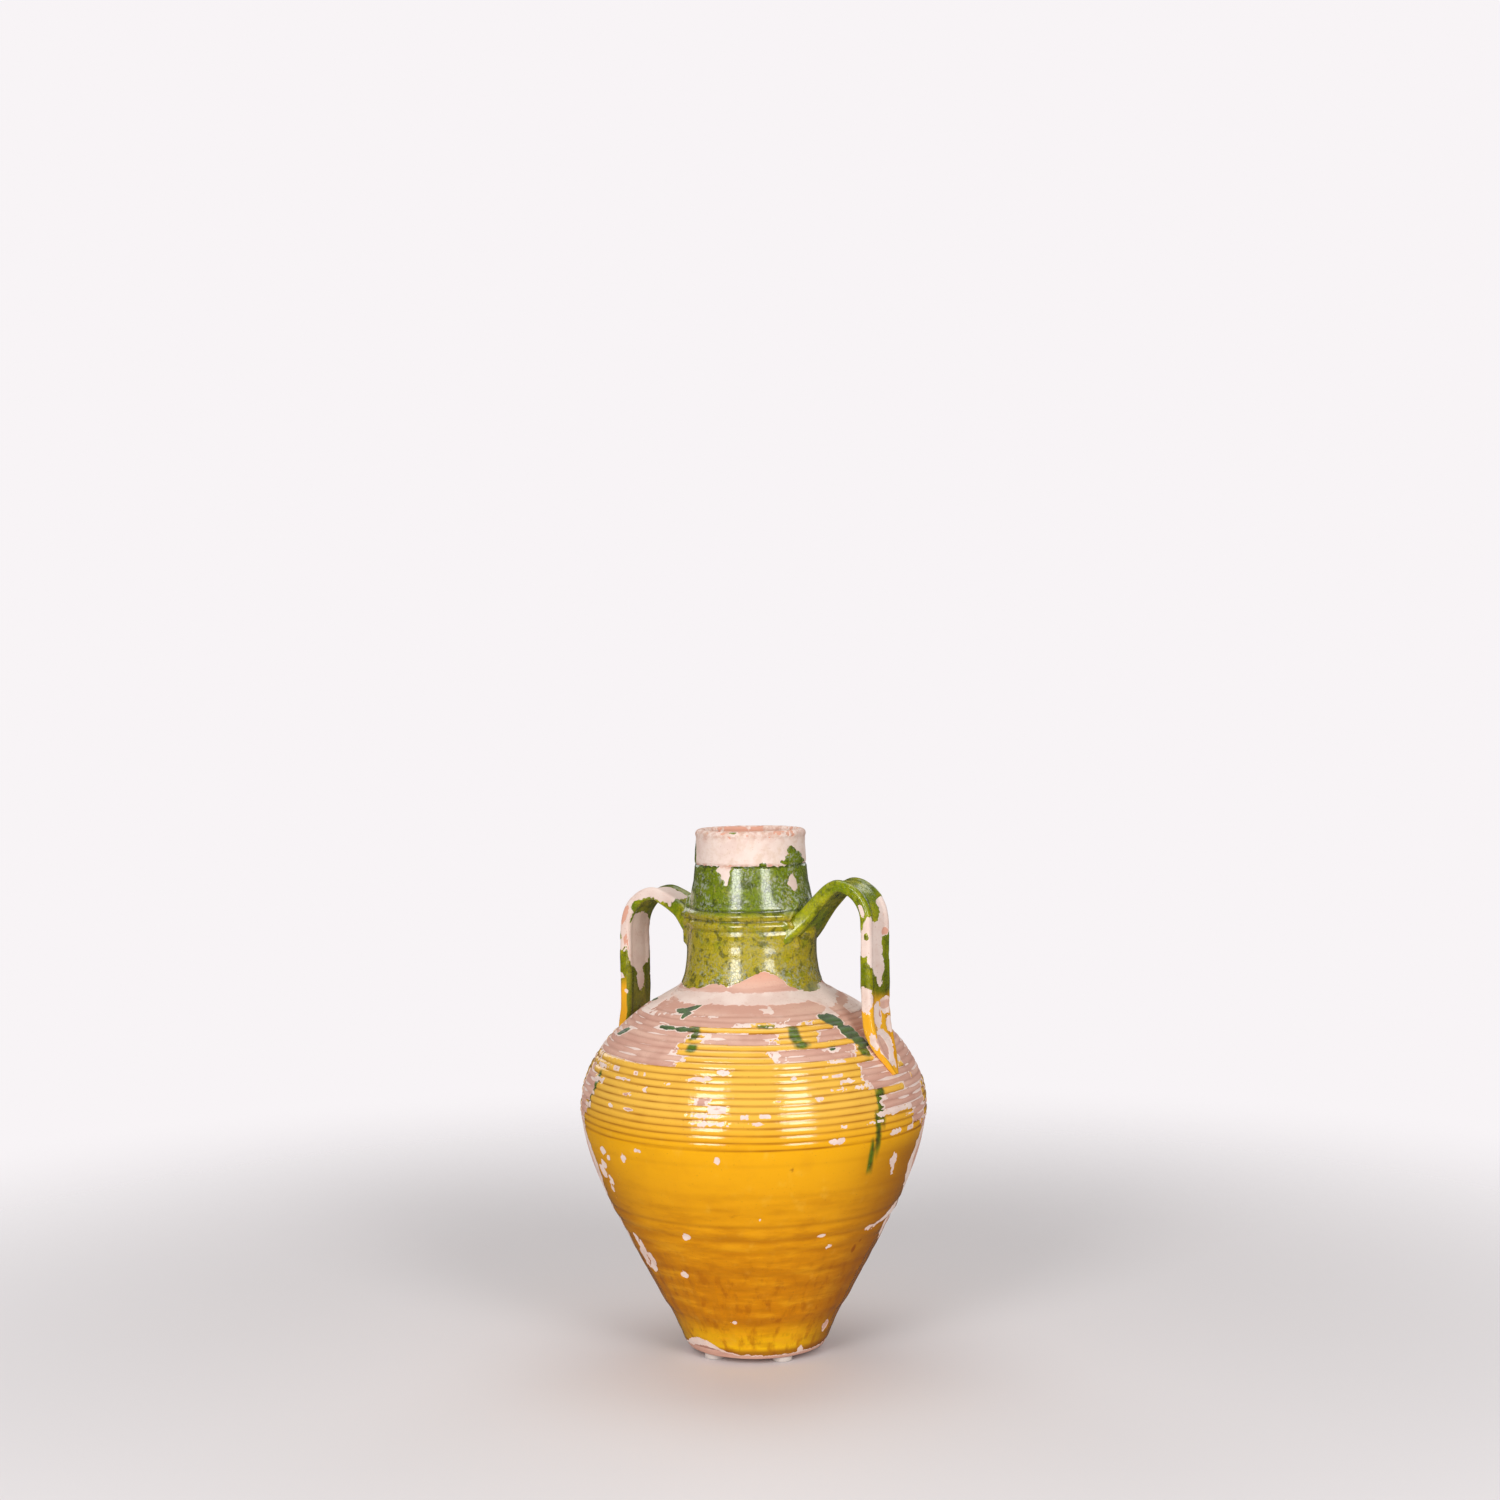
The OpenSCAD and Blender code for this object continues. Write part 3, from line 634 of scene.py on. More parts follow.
# Losses on a strap: height and half height in mm, then the middle and half width across the strap and through it (-1 to 1)
STRAP_LOST = {
    "right": [(405, 17, -0.9, 0.6, 0.7, 1.2), (384, 12, -0.6, 0.55, 1, 0.9), (424, 14, 0.55, 0.5, 1, 1),
    (432, 13, 0.8, 0.32, 1, 1), (413, 13, 0.05, 1.2, 1, 0.8), (398, 13.5, -1, 0.4, 0, 1.4),
    (393, 16, -0.35, 0.85, 1, 0.8), (376, 13, -0.05, 0.6, 1, 0.8),
              (364, 9, 0.05, 0.3, 1, 0.8), (427, 7, -1, 0.3, -0.2, 0.5), (344, 13.5, -1, 0.4, 0, 1.4),
              (329, 15, -0.25, 0.4, 1, 0.8), (337, 9, 0.55, 0.55, 1, 0.8),
              (299, 17, -0.2, 0.85, 1, 0.9), (318, 9, 0.75, 0.3, 1, 0.8), (305, 9, -1, 0.3, 0.4, 0.8),
              (284, 5, 0.3, 0.3, 1, 1), (362, 22, 0.4, 0.6, -1, 0.8), (398, 30, 1, 0.3, 0, 1)],
    "left": [(404, 31, 1, 0.5, 0.2, 1.3), (386, 31, 0.05, 1.15, -1, 0.8), (347, 13, -0.1, 0.35, -1, 0.8),
    (352, 3.4, 1, 0.4, 0.6, 0.7), (336, 3, 1, 0.2, -0.5, 0.6),
             (408, 26, -0.1, 0.8, 1, 0.8), (365, 14, 0.2, 0.5, 1, 0.8), (325, 14, 0.1, 0.5, 1, 0.8),
             (298, 12, -0.2, 0.6, 1, 0.8), (350, 12, -1, 0.3, 0, 1)],
}
STRAP_KEPT = {
    "right": [(394, 9, 0.85, 0.5, 1, 0.8), (404, 3, -1, 0.2, 0.3, 0.3), (425, 8, -0.3, 0.5, 1, 0.8),
    (372, 9, 0.85, 0.3, 1, 0.8)],
    "left": [(425, 6, 0.85, 0.5, -0.9, 0.7), (391, 3, 1, 0.3, 1, 0.5), (366, 9, 1, 0.5, 1, 0.8)],
}
STRAP_BARE = {
    "right": [(339, 6, 0.5, 0.5, 1, 0.8), (300, 11, -0.5, 0.5, 1, 0.8), (330, 5, 0.1, 0.2, 1, 0.6),
    (405, 4, 0.6, 0.3, 1, 0.6)],
    "left": [(411, 9, 0.95, 0.22, 0.3, 0.6), (374, 20, 0.97, 0.12, -0.5, 0.5),
    (400, 12, 0.2, 0.5, 1, 0.8), (303, 8, -0.4, 0.4, 1, 0.8)],
}


def strap_coats(which, points, lay):
    """How far inside the glaze and the slip each place on a strap is, in mm."""
    along, v, q, z = lay
    seed = 71 if which == "right" else 81
    ragged = 1.4 * jagged(points, 6, seed) + 0.7 * jagged(points, 2.6, seed + 12)

    def outside(spots):
        nearest = np.full(len(v), 99.0)
        for middle, high, at, wide, through, deep in spots:
            far = np.sqrt(((z - middle) / high) ** 2 + ((v - at) / wide) ** 2 + ((q - through) / deep) ** 2)
            nearest = np.minimum(nearest, (far - 1) * min(high, wide * 19))
        return nearest

    lost = outside(STRAP_LOST[which])
    if which == "left":
        crown = np.minimum.reduce([along - 41, 97 - along, (v + 0.5) * 19, (q + 0.2) * 6 + 3 * (v > 0.9)])
        lost = np.minimum(lost + 40 * eased((69 - along) / 12), -crown)
    else:
        lost = lost + 40 * eased((112 - along) / 16)
    chips = (1.45 - rough(points, 12, seed + 6)) * 6 + 9 * (along < 112)
    glaze = np.minimum(np.maximum(lost, -outside(STRAP_KEPT[which])) + ragged, chips)
    bare = outside(STRAP_BARE[which]) + 1.1 * jagged(points * [1, 1, 0.6], 6, seed + 9)
    slip = np.maximum(glaze + 0.8, np.minimum(bare,
        4 - 8 * np.clip(grain(points * [1, 1, 0.5], 14, seed + 7) - 0.45, 0, 1)))
    return glaze, slip


# ---------------------------------------------------------------- finishes


def paint(red, green, blue):
    """A colour as 0-255 screen values, turned into the linear values that shaders use."""
    part = [v / 255 for v in (red, green, blue)]
    return tuple(v / 12.92 if v < 0.04045 else ((v + 0.055) / 1.055) ** 2.4 for v in part) + (1.0,)


class Shade:
    """An output of a shader node that can be used in arithmetic; each operation adds one Math node."""

    def __init__(self, look, socket):
        self.look = look
        self.socket = socket

    def math(self, operation, *values):
        return self.look.node("ShaderNodeMath", {"operation": operation}, dict(enumerate(values)))

    def __add__(self, other):
        return self.math("ADD", self, other)

    def __radd__(self, other):
        return self.math("ADD", other, self)

    def __sub__(self, other):
        return self.math("SUBTRACT", self, other)

    def __rsub__(self, other):
        return self.math("SUBTRACT", other, self)

    def __mul__(self, other):
        return self.math("MULTIPLY", self, other)

    def __rmul__(self, other):
        return self.math("MULTIPLY", other, self)

    def __truediv__(self, other):
        return self.math("DIVIDE", self, other)

    def __rtruediv__(self, other):
        return self.math("DIVIDE", other, self)

    def __pow__(self, other):
        return self.math("POWER", self, other)

    def least(self, other):
        return self.math("MINIMUM", self, other)

    def most(self, other):
        return self.math("MAXIMUM", self, other)

    def between(self, low, high):
        """0 below low, 1 above high, eased between."""
        settings = {"interpolation_type": "SMOOTHSTEP", "clamp": True}
        return self.look.node("ShaderNodeMapRange", settings,
            {"Value": self, "From Min": low, "From Max": high})

    def times(self, x, y, z):
        """A vector stretched along each axis."""
        return self.look.node("ShaderNodeVectorMath", {"operation": "MULTIPLY"}, {0: self, 1: (x, y, z)})

    def moved(self, other, amount):
        """A vector moved by a colour's or vector's difference from the middle, times an amount."""
        off = self.look.node("ShaderNodeVectorMath", {"operation": "SUBTRACT"},
            {0: other, 1: (0.5, 0.5, 0.5)})
        off = self.look.node("ShaderNodeVectorMath", {"operation": "SCALE"}, {0: off, "Scale": amount})
        return self.look.node("ShaderNodeVectorMath", {"operation": "ADD"}, {0: self, 1: off})

    def mixed(self, other, amount):
        """This colour mixed towards another."""
        settings = {"data_type": "RGBA", "clamp_factor": True}
        return self.look.node("ShaderNodeMix", settings, {0: amount, 6: self, 7: other}, out=2)

    def dimmed(self, amount):
        """This colour times a value."""
        return self.look.node("ShaderNodeVectorMath", {"operation": "SCALE"}, {0: self, "Scale": amount})


class Look:
    """A procedural material on one Principled shader, read at places in metres on the object."""

    def __init__(self, name, **settings):
        self.material = bpy.data.materials.new(name)
        self.material.use_nodes = True
        self.tree = self.material.node_tree
        self.surface = self.tree.nodes["Principled BSDF"]
        for key, value in settings.items():
            self.surface.inputs[key.replace("_", " ")].default_value = value
        self.place = self.node("ShaderNodeTexCoord", out="Object")
        self.height = self.node("ShaderNodeSeparateXYZ", inputs={0: self.place}, out=2) * 1000

    def node(self, kind, settings=None, inputs=None, out=0):
        """Adds a node of any type, sets its settings and inputs, and gives one of its outputs."""
        made = self.tree.nodes.new(kind)
        for key, value in (settings or {}).items():
            setattr(made, key, value)
        for key, value in (inputs or {}).items():
            self.feed(made.inputs[key], value)
        return Shade(self, made.outputs[out])

    def feed(self, socket, value):
        """Links a shade to an input, or sets the input to a plain value."""
        if isinstance(value, Shade):
            self.tree.links.new(value.socket, socket)
        else:
            socket.default_value = value

    def colour(self, *rgb):
        """A plain colour that mixes start from."""
        return self.node("ShaderNodeMix", {"data_type": "RGBA"}, {0: 0.0, 6: paint(*rgb), 7: paint(*rgb)},
            out=2)

    def mark(self, name):
        return self.node("ShaderNodeAttribute", {"attribute_name": name}, out="Fac")

    def noise(self, size, detail=3.0, where=None, roughness=0.55, out="Fac"):
        """Cloudy noise, about 0 to 1, whose blotches are size mm across."""
        inputs = {"Vector": where or self.place, "Scale": 1000 / size, "Detail": detail,
            "Roughness": roughness}
        return self.node("ShaderNodeTexNoise", {"normalize": True}, inputs, out=out)

    def cells(self, size, where=None, feature="DISTANCE_TO_EDGE"):
        """Distance to the edges of random cells size mm across, as a share of their size."""
        inputs = {"Vector": where or self.place, "Scale": 1000 / size}
        return self.node("ShaderNodeTexVoronoi", {"feature": feature}, inputs, out="Distance")

    def finish(self, colour, roughness, height, depth):
        """Connects the look: colour, roughness, and a bump of a depth in mm."""
        self.feed(self.surface.inputs["Base Color"], colour)
        self.feed(self.surface.inputs["Roughness"], roughness)
        bump = self.node("ShaderNodeBump",
            inputs={"Height": height, "Strength": 1.0, "Distance": depth * MM}, out="Normal")
        self.feed(self.surface.inputs["Normal"], bump)
        return self.material


def clay_look():
    """Bare pink earthenware: dry, with throwing streaks round the jar, dust, and traces of slip rubbed into it."""
    look = Look("pink_earthenware", IOR=1.45, Specular_IOR_Level=0.3)
    streaks = look.noise(26, 4, look.place.times(0.25, 0.25, 2.6), 0.6)
    cloud = look.noise(34, 4)
    fine = look.noise(1.7, 3)
    tint = look.colour(213, 163, 144).mixed(paint(230, 188, 167), streaks.between(0.35, 0.7))
    tint = tint.mixed(paint(196, 146, 129), cloud.between(0.5, 0.72) * 0.5)
    warm = look.height.between(352, 368)
    tint = tint.mixed(paint(232, 170, 144), warm * 0.75)
    rubbed = look.noise(7, 5, look.place.times(0.4, 0.4, 2.2), 0.7).between(0.6, 0.68)
    tint = tint.mixed(paint(232, 204, 188), rubbed * 0.5)
    drift = look.height + 5 * look.noise(40, 3)
    wash = drift.between(342, 346) * drift.between(354, 350)
    wash = wash.most(drift.between(331, 334) * drift.between(339, 335) * look.noise(18, 3).between(0.5,
        0.7) * 0.3)
    brushed = look.noise(5, 4, look.place.times(0.3, 0.3, 2.6), 0.6).between(0.3, 0.55)
    tint = tint.mixed(paint(243, 218, 204), wash * brushed * 0.85)
    specks = look.noise(1.1, 1).between(0.7, 0.76)
    tint = tint.mixed(paint(140, 92, 78), specks * 0.5)
    # Darker in the comb grooves: painted shade in the recesses.
    tint = tint.mixed(paint(160, 108, 90), look.mark("groove") * 0.35)
    return look.finish(tint, look.noise(12, 3) * 0.12 + 0.8, fine + 2.2 * streaks, 0.18)


def slip_look():
    """White slip: a thin chalky coat, cream to faintly pink, with small pits and stains."""
    look = Look("white_slip", IOR=1.45, Specular_IOR_Level=0.3)
    cloud = look.noise(24, 4)
    fine = look.noise(2.2, 4)
    tint = look.colour(246, 224, 212).mixed(paint(236, 209, 196), cloud.between(0.4, 0.68))
    bloom = look.noise(9, 5, look.place.times(0.7, 0.7, 1.5), 0.65).between(0.56, 0.7)
    tint = tint.mixed(paint(226, 190, 172), bloom * 0.5)
    pits = look.noise(1.3, 1).between(0.71, 0.76)
    tint = tint.mixed(paint(172, 118, 92), pits * 0.6)
    edge = look.height.between(487, 498) * look.noise(6, 5, roughness=0.7).between(0.42, 0.62)
    edge = edge.most(look.height.between(470, 467) * look.height.between(463, 466) * look.noise(5,
        4).between(0.4, 0.6))
    tint = tint.mixed(paint(206, 152, 126), edge * 0.7)
    tint = tint.mixed(paint(226, 196, 172),
        look.height.between(464, 470) * look.noise(11, 5, roughness=0.7).between(0.46, 0.66) * 0.6)
    stains = look.noise(3, 3).between(0.68, 0.74)
    tint = tint.mixed(paint(200, 150, 120), stains * 0.45)
    return look.finish(tint, look.noise(9, 3) * 0.14 + 0.62, fine + 2 * cloud, 0.12)


def glaze_look(name, kind):
    """Lead glaze over white slip: yellow where thin, dark orange-brown where it pools, and green where copper was
    poured over it;
    finely crazed, and silvering in patches high on the neck, whose pale grey colour there is partly painted highlight
    glints."""
    look = Look(name, IOR=1.7 if kind != "handle" else 1.55, Specular_IOR_Level=0.5)
    cloud = look.noise(30, 4)
    fine = look.noise(5, 4)
    tiny = look.noise(1.6, 3)
    pool = look.mark("pooled")
    # yellow: lighter up the shoulder and darker low on the belly, where it is partly thicker glaze and partly painted
    # shade, as the lower belly turns down away from the lamps
    up = look.height.between(70, 235)
    yellow = look.colour(218, 138, 0).mixed(paint(248, 178, 10), up)
    # Lighter yellow towards the foot: painted light that offsets the shade under the belly's overhang.
    yellow = yellow.mixed(paint(255, 198, 8), look.height.between(50, 14))
    paler = 0.15 if kind == "handle" else 0.65
    yellow = yellow.mixed(paint(255, 206, 96), look.height.between(218, 262) * paler)
    yellow = yellow.mixed(paint(190, 112, 8), cloud.between(0.5, 0.78) * 0.35 * (1 - 0.6 * up))
    yellow = yellow.mixed(paint(255, 200, 70), look.noise(13, 4).between(0.56, 0.78) * 0.3)
    lowness = look.height.between(215, 120)
    streak = look.noise(8, 3, look.place.times(1, 1, 0.1))
    yellow = yellow.mixed(paint(180, 100, 0),
        streak.between(0.48, 0.68) * look.height.between(130, 70) * 0.65)
    strokes = look.noise(9, 4, look.place.times(0.2, 0.2, 1), 0.6)
    yellow = yellow.mixed(paint(184, 108, 0), strokes.between(0.47, 0.66) * lowness * 0.42)
    yellow = yellow.mixed(paint(246, 172, 18), strokes.between(0.5, 0.34) * lowness * 0.6)
    # Darker orange-brown on the lower sides: partly darker glaze, partly painted shade.
    yellow = yellow.mixed(paint(160, 92, 6), look.mark("amber_and_side_shade") * 0.8)
    yellow = yellow.mixed(paint(152, 76, 0), pool.least(1.0) * 0.9)
    yellow = yellow.mixed(paint(150, 84, 20), look.height.between(17.5, 12) * 0.8)
    flecks = look.noise(1.4, 1).between(0.74, 0.77)
    yellow = yellow.mixed(paint(120, 70, 12), flecks * 0.6)
    # green
    thick = look.noise(9, 5, roughness=0.65)
    if kind == "handle":
        green = look.colour(122, 140, 4).mixed(paint(176, 176, 20),
            look.noise(15, 4, look.place.times(1, 1, 0.5)).between(0.35, 0.65))
        green = green.mixed(paint(62, 76, 2), thick.between(0.5, 0.66) * 0.65)
        green = green.mixed(paint(108, 104, 2), look.height.between(400, 350) * 0.5)
    elif kind == "neck":
        low_neck = look.height.between(426, 416)
        green = look.colour(126, 144, 4).mixed(paint(190, 172, 26),
            low_neck * look.noise(16, 4).between(0.2, 0.5))
        green = green.mixed(paint(174, 168, 60),
            look.noise(12, 3).between(0.54, 0.66) * look.height.between(424, 428) * 0.5)
        green = green.mixed(paint(58, 68, 6), thick.between(0.52, 0.6) * 0.65)
        green = green.mixed(paint(196, 184, 66), look.noise(5, 4, roughness=0.7).between(0.56, 0.7) * 0.5)
    else:
        green = look.colour(62, 116, 20).mixed(paint(40, 68, 24), thick.between(0.42, 0.64))
    warped = look.place.moved(look.noise(6, 2, out="Color"), 0.004)
    craze = look.cells(3.4, warped).between(0.07, 0.0)
    green = green.mixed(paint(30, 40, 26), pool.least(1.0) * 0.7)
    green = green.mixed(paint(44, 52, 28), craze * 0.5)
    silvering_and_glints = look.noise(3, 5, roughness=0.75).between(0.5, 0.57) * look.noise(24, 3).between(0.44, 0.56)
    patches = look.height.between(422, 430) * 0.7 + look.height.between(380, 356) * 0.8 + 0.3
    silvering_and_glints = silvering_and_glints * patches.least(1.0)
    if kind == "neck":
        mottle = look.noise(2.2, 5, roughness=0.8)
        green = green.mixed(paint(40, 52, 30), mottle.between(0.53, 0.58) * patches.least(1.0) * 0.6)
        # The pale grey is partly the glaze's weathered silvering and partly painted highlight glints.
        green = green.mixed(paint(168, 174, 156), silvering_and_glints * 0.75)
    green = green.mixed(paint(106, 110, 90), look.mark("dim") * 0.35)
    ready = yellow.mixed(green, look.mark("green"))
    if kind != "body":
        look.feed(look.surface.inputs["Coat Weight"],
            (1 - 0.85 * silvering_and_glints) * (0.75 if kind == "neck" else 0.3))
        look.surface.inputs["Coat Roughness"].default_value = 0.1
    rough_here = (0.09 if kind == "body" else 0.13) + 0.08 * fine + 0.3 * silvering_and_glints * look.mark("green") + 0.3 * look.mark("dim")
    swell = 0.6 * cloud + 0.3 * fine + 0.05 * tiny
    return look.finish(ready, rough_here, swell - 0.08 * craze * look.mark("green"),
        0.45 if kind == "body" else 0.8)


def felt_look():
    """Pale wool felt."""
    look = Look("pale_felt", Specular_IOR_Level=0.1)
    tint = look.colour(226, 216, 208).mixed(paint(198, 188, 182), look.noise(1.2, 4, roughness=0.7))
    return look.finish(tint, look.noise(3) * 0.05 + 0.92, look.noise(0.8, 4, roughness=0.75), 0.3)


CLAY = clay_look()
SLIP = slip_look()
YELLOW = glaze_look("yellow_lead_glaze", "body")
GREEN = glaze_look("green_lead_glaze", "neck")
MIXED = glaze_look("green_to_yellow_lead_glaze", "handle")
FELT = felt_look()

# ---------------------------------------------------------------- the jar


def coated(sheet, present, lift, drop):
    """A cut coat, from a sheet as turned() gives it, with its colour marks."""
    points, normals, faces, turn, height = sheet
    return cut((points, normals, faces, {"turn": turn, "height": height}), present, lift, drop)


def coat_piece(name, sheet, present, lift, drop, material, slot_name, node=None):
    points, faces, marks = coated(sheet, present, lift, drop)
    marks = colours_of(marks["turn"], marks["height"]) if slot_name != "slip" else {}
    return piece(name, points, faces, marks, material, node)


def lip_sheet(columns):
    """Sheet of the collar: up the outside, over the rolled lip and down inside the mouth to below the neck's ledge."""
    rise = np.linspace(466, 492.3, 24)
    over = np.radians(np.linspace(-35, 180, 26))
    inside = np.linspace(495.2, 466, 14)[1:]
    r = np.concatenate([outline(rise), 49 + 4.8 * np.cos(over)[1:], np.full(13, 44.2)])
    z = np.concatenate([rise, 495.2 + 4.8 * np.sin(over)[1:], inside])
    s = 466 + np.concatenate([[0], np.cumsum(np.hypot(np.diff(r), np.diff(z)))])
    tr, tz = np.gradient(r), np.gradient(z)
    size = np.hypot(tr, tz)
    side, up = tz / size, -tr / size
    turn = np.arange(columns) * 360.0 / columns - 180
    a = np.radians(turn + FRONT)
    t, hh = np.meshgrid(turn, s, indexing="xy")
    swell = np.where(hh < 500, relief(t, np.minimum(hh, 499)), 0) + 0.3 * grain(on_jar(t, hh), 14,
        91) * (z < 499.9)[:, None]
    swell = swell * (r > 44.3)[:, None]
    rr = r[:, None] + swell * side[:, None]
    zz = z[:, None] + swell * up[:, None]
    points = np.stack([rr * np.cos(a), rr * np.sin(a), np.minimum(zz, 500)], -1).reshape(-1, 3)
    normals = np.stack([side[:, None] * np.cos(a), side[:, None] * np.sin(a),
        np.repeat(up[:, None], columns, 1)], -1).reshape(-1, 3)
    faces = facing(points, ring_faces(len(s), columns), normals)
    return points, normals, faces, t.ravel(), hh.ravel()


def base_slab():
    """The turned foot: a thick disc with a bevelled edge, stepped in where the wall stands on it."""
    columns = 240
    turn = np.arange(columns) * 360.0 / columns
    a = np.radians(turn + FRONT)
    edge_z = np.linspace(5.0, 12, 7)
    r = np.concatenate([np.linspace(2, 62, 12), outline(edge_z) - COAT, [66.0, 63.6, 62.2],
        np.linspace(60, 2, 12)])
    r[12] -= 1.2
    z = np.concatenate([np.full(12, 5.0), edge_z, [12, 12.0, 17], np.full(12, 17.0)])
    z[12] += 0.2
    wobble = 0.35 * grain(np.stack([40 * np.cos(a), 40 * np.sin(a), 0 * a], -1), 18, 95)
    rr = r[:, None] + wobble * (r > 61)[:, None] * (z < 12)[:, None]
    points = np.stack([rr * np.cos(a), rr * np.sin(a), np.repeat(z[:, None], columns, 1)], -1).reshape(-1, 3)
    rows = len(r)
    faces = ring_faces(rows, columns)
    j = np.arange(columns)
    j2 = (j + 1) % columns
    m, last = rows * columns, (rows - 1) * columns
    fans = np.concatenate([np.stack([np.full(columns, m), j2, j], -1),
        np.stack([np.full(columns, m + 1), last + j, last + j2], -1)])
    points = np.concatenate([points, [[0, 0, 5.0], [0, 0, 17.0]]])
    guide = points * [1, 1, 0] / 70 + np.stack([0 * points[:, 0], 0 * points[:, 0],
        np.sign(points[:, 2] - 11)], -1)
    faces = facing(points, np.concatenate([faces, fans]), guide)
    return piece("base_slab", points, faces, {"groove": np.zeros(len(points))}, CLAY, "base_slab")


base_slab()
clay_ring("lower_wall", 12, 222, 2.4, 300, CLAY, "lower_wall")
clay_ring("upper_wall", 222, 348, 1.3, 360, CLAY, "upper_wall")
clay_ring("neck", 348, 466, 1.8, 300, CLAY, "neck")

lower = turned(evenly(8, 222, 1.55), 620)
glaze, slip = coats_left(*lower[3:])
coat_piece("lower_slip", lower, np.minimum(slip, 3 - glaze), -0.4, -1.0, SLIP, "slip")
coat_piece("lower_body_glaze", lower, glaze, 0.0, -0.85, YELLOW, "yellow_glaze", "lower_body_glaze")

upper = turned(evenly(222, 341, 1.12), 640)
glaze, slip = coats_left(*upper[3:])
under = np.minimum(slip, 3 - glaze)
coat_piece("upper_slip", upper, np.minimum(under, 331.2 - upper[4]), -0.4, -1.0, SLIP, "slip")
coat_piece("upper_body_glaze", upper, glaze, 0.0, -0.85, YELLOW, "yellow_glaze", "upper_body_glaze")

foot = turned(evenly(331.2, 354, 1.0), 640)
glaze, slip = coats_left(*foot[3:])
coat_piece("shoulder_slip", foot, np.minimum(slip, 3 - glaze), -0.4, -1.0, SLIP, "slip", "shoulder_slip")

throat = turned(evenly(341, 466.4, 1.1), 360)
glaze, slip = coats_left(*throat[3:])
coat_piece("neck_slip", throat, np.minimum.reduce([slip, 3 - glaze, (throat[4] - 354) * 2]), -0.4, -1.0,
    SLIP, "slip")
coat_piece("neck_glaze", throat, glaze, 0.0, -0.85, GREEN, "green_glaze", "neck_glaze")

collar = lip_sheet(360)
glaze, slip = coats_left(*collar[3:])
coat_piece("collar_slip", collar, np.minimum(slip, 3 - glaze), -0.35, -1.0, SLIP, "slip", "collar_slip")
coat_piece("collar_glaze", collar, glaze, 0.0, -0.85, GREEN, "green_glaze")
points, normals, faces, turn, height = collar
rows = len(points) // 360
skin = points - normals * COAT
back = skin.reshape(rows, 360, 3)[:1] * [0.94, 0.94, 1]
every = np.concatenate([skin, back.reshape(-1, 3)])
guide = np.concatenate([normals, np.zeros((360, 3))])
faces = facing(every, ring_faces(rows + 1, 360, closed=True), guide)
piece("rim_collar", every, faces, {"groove": np.zeros(len(every))}, CLAY, "rim_collar")

# ---------------------------------------------------------------- handles and pads

for side_name in ("right", "left"):
    points, normals, faces, lay = strap(side_name)
    glaze, slip = strap_coats(side_name, points, lay)
    body = piece(side_name + "_handle", points - normals * COAT, faces, {"groove": 0 * lay[0]}, CLAY,
        side_name + "_handle")
    marks = {"along": lay[0], "v": lay[1], "q": lay[2], "z": lay[3]}
    p, f, m = cut((points, normals, faces, marks), np.minimum(slip, 3 - glaze), -0.4, -1.0)
    piece(side_name + "_handle_slip", p, f, {}, SLIP)
    p, f, m = cut((points, normals, faces, marks), glaze, 0.0, -0.85)
    seed = 101 if side_name == "right" else 111
    turning = m["z"] + 4 * rough(p * [1, 1, 0.3], 15,
        seed) + (60 * eased((-0.4 - m["q"]) / 0.3) if side_name == "left" else 0)
    green = eased((turning - 339) / 14)
    pooled = 0.55 * np.exp(-(((np.abs(m["v"]) - 0.62) / 0.14) ** 2)) * (np.abs(m["q"]) > 0.6)
    piece(side_name + "_handle_glaze", p, f,
        {"green": green, "pooled": pooled, "dim": 0 * green, "amber_and_side_shade": 0 * green}, MIXED,
        side_name + "_handle_glaze")


def foot_pad(node):
    """A thick felt disc with soft edges."""
    low, high = (np.array(c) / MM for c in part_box(node))
    centre, r = (low + high) / 2, (high - low)[0] / 2
    columns = 48
    turn = np.arange(columns) * 2 * np.pi / columns
    rr = np.array([0.5, r * 0.6, r - 1.2, r - 0.3, r, r, r - 0.3, r - 0.9, r * 0.6, 0.5])
    zz = np.array([low[2], low[2], low[2], low[2] + 0.3, low[2] + 1.2, high[2] - 1.2, high[2] - 0.3,
        high[2], high[2], high[2]])
    points = np.stack([centre[0] + rr[:, None] * np.cos(turn), centre[1] + rr[:, None] * np.sin(turn),
        np.repeat(zz[:, None], columns, 1)], -1)
    points = points.reshape(-1, 3)
    j = np.arange(columns)
    j2 = (j + 1) % columns
    m, last = 10 * columns, 9 * columns
    fans = np.concatenate([np.stack([np.full(columns, m), j2, j], -1),
        np.stack([np.full(columns, m + 1), last + j, last + j2], -1)])
    points = np.concatenate([points, [[centre[0], centre[1], low[2]], [centre[0], centre[1], high[2]]]])
    faces = facing(points, np.concatenate([ring_faces(10, columns), fans]), points - centre)
    return piece(node + "_felt", points, faces, {}, FELT, node)


for node in ("pad_front_left", "pad_front_right", "pad_back_right", "pad_back_left"):
    foot_pad(node)

# ---------------------------------------------------------------- floor, light and camera


columns = 128
turn = np.arange(columns) * 2 * np.pi / columns
disc = np.concatenate([[[0, 0, 0]], np.stack([1.5 * np.cos(turn), 1.5 * np.sin(turn), 0 * turn], -1)])
floor_mesh = bpy.data.meshes.new("floor")
floor_mesh.from_pydata(disc.tolist(), [], [(0, 1 + k, 1 + (k + 1) % columns) for k in range(columns)])
FLOOR = Look("pale_floor", Base_Color=paint(232, 228, 228), Roughness=0.7, Specular_IOR_Level=0.2)
reach = FLOOR.node("ShaderNodeVectorMath", {"operation": "LENGTH"}, {0: FLOOR.place}, out="Value")
FLOOR.feed(FLOOR.surface.inputs["Alpha"], reach.between(1.5, 0.45))
floor_mesh.materials.append(FLOOR.material)
floor = bpy.data.objects.new("floor", floor_mesh)
bpy.context.scene.collection.objects.link(floor)
floor.visible_glossy = False

VIEW = 33.0  # where the camera stands: degrees round the jar from the front of the frame


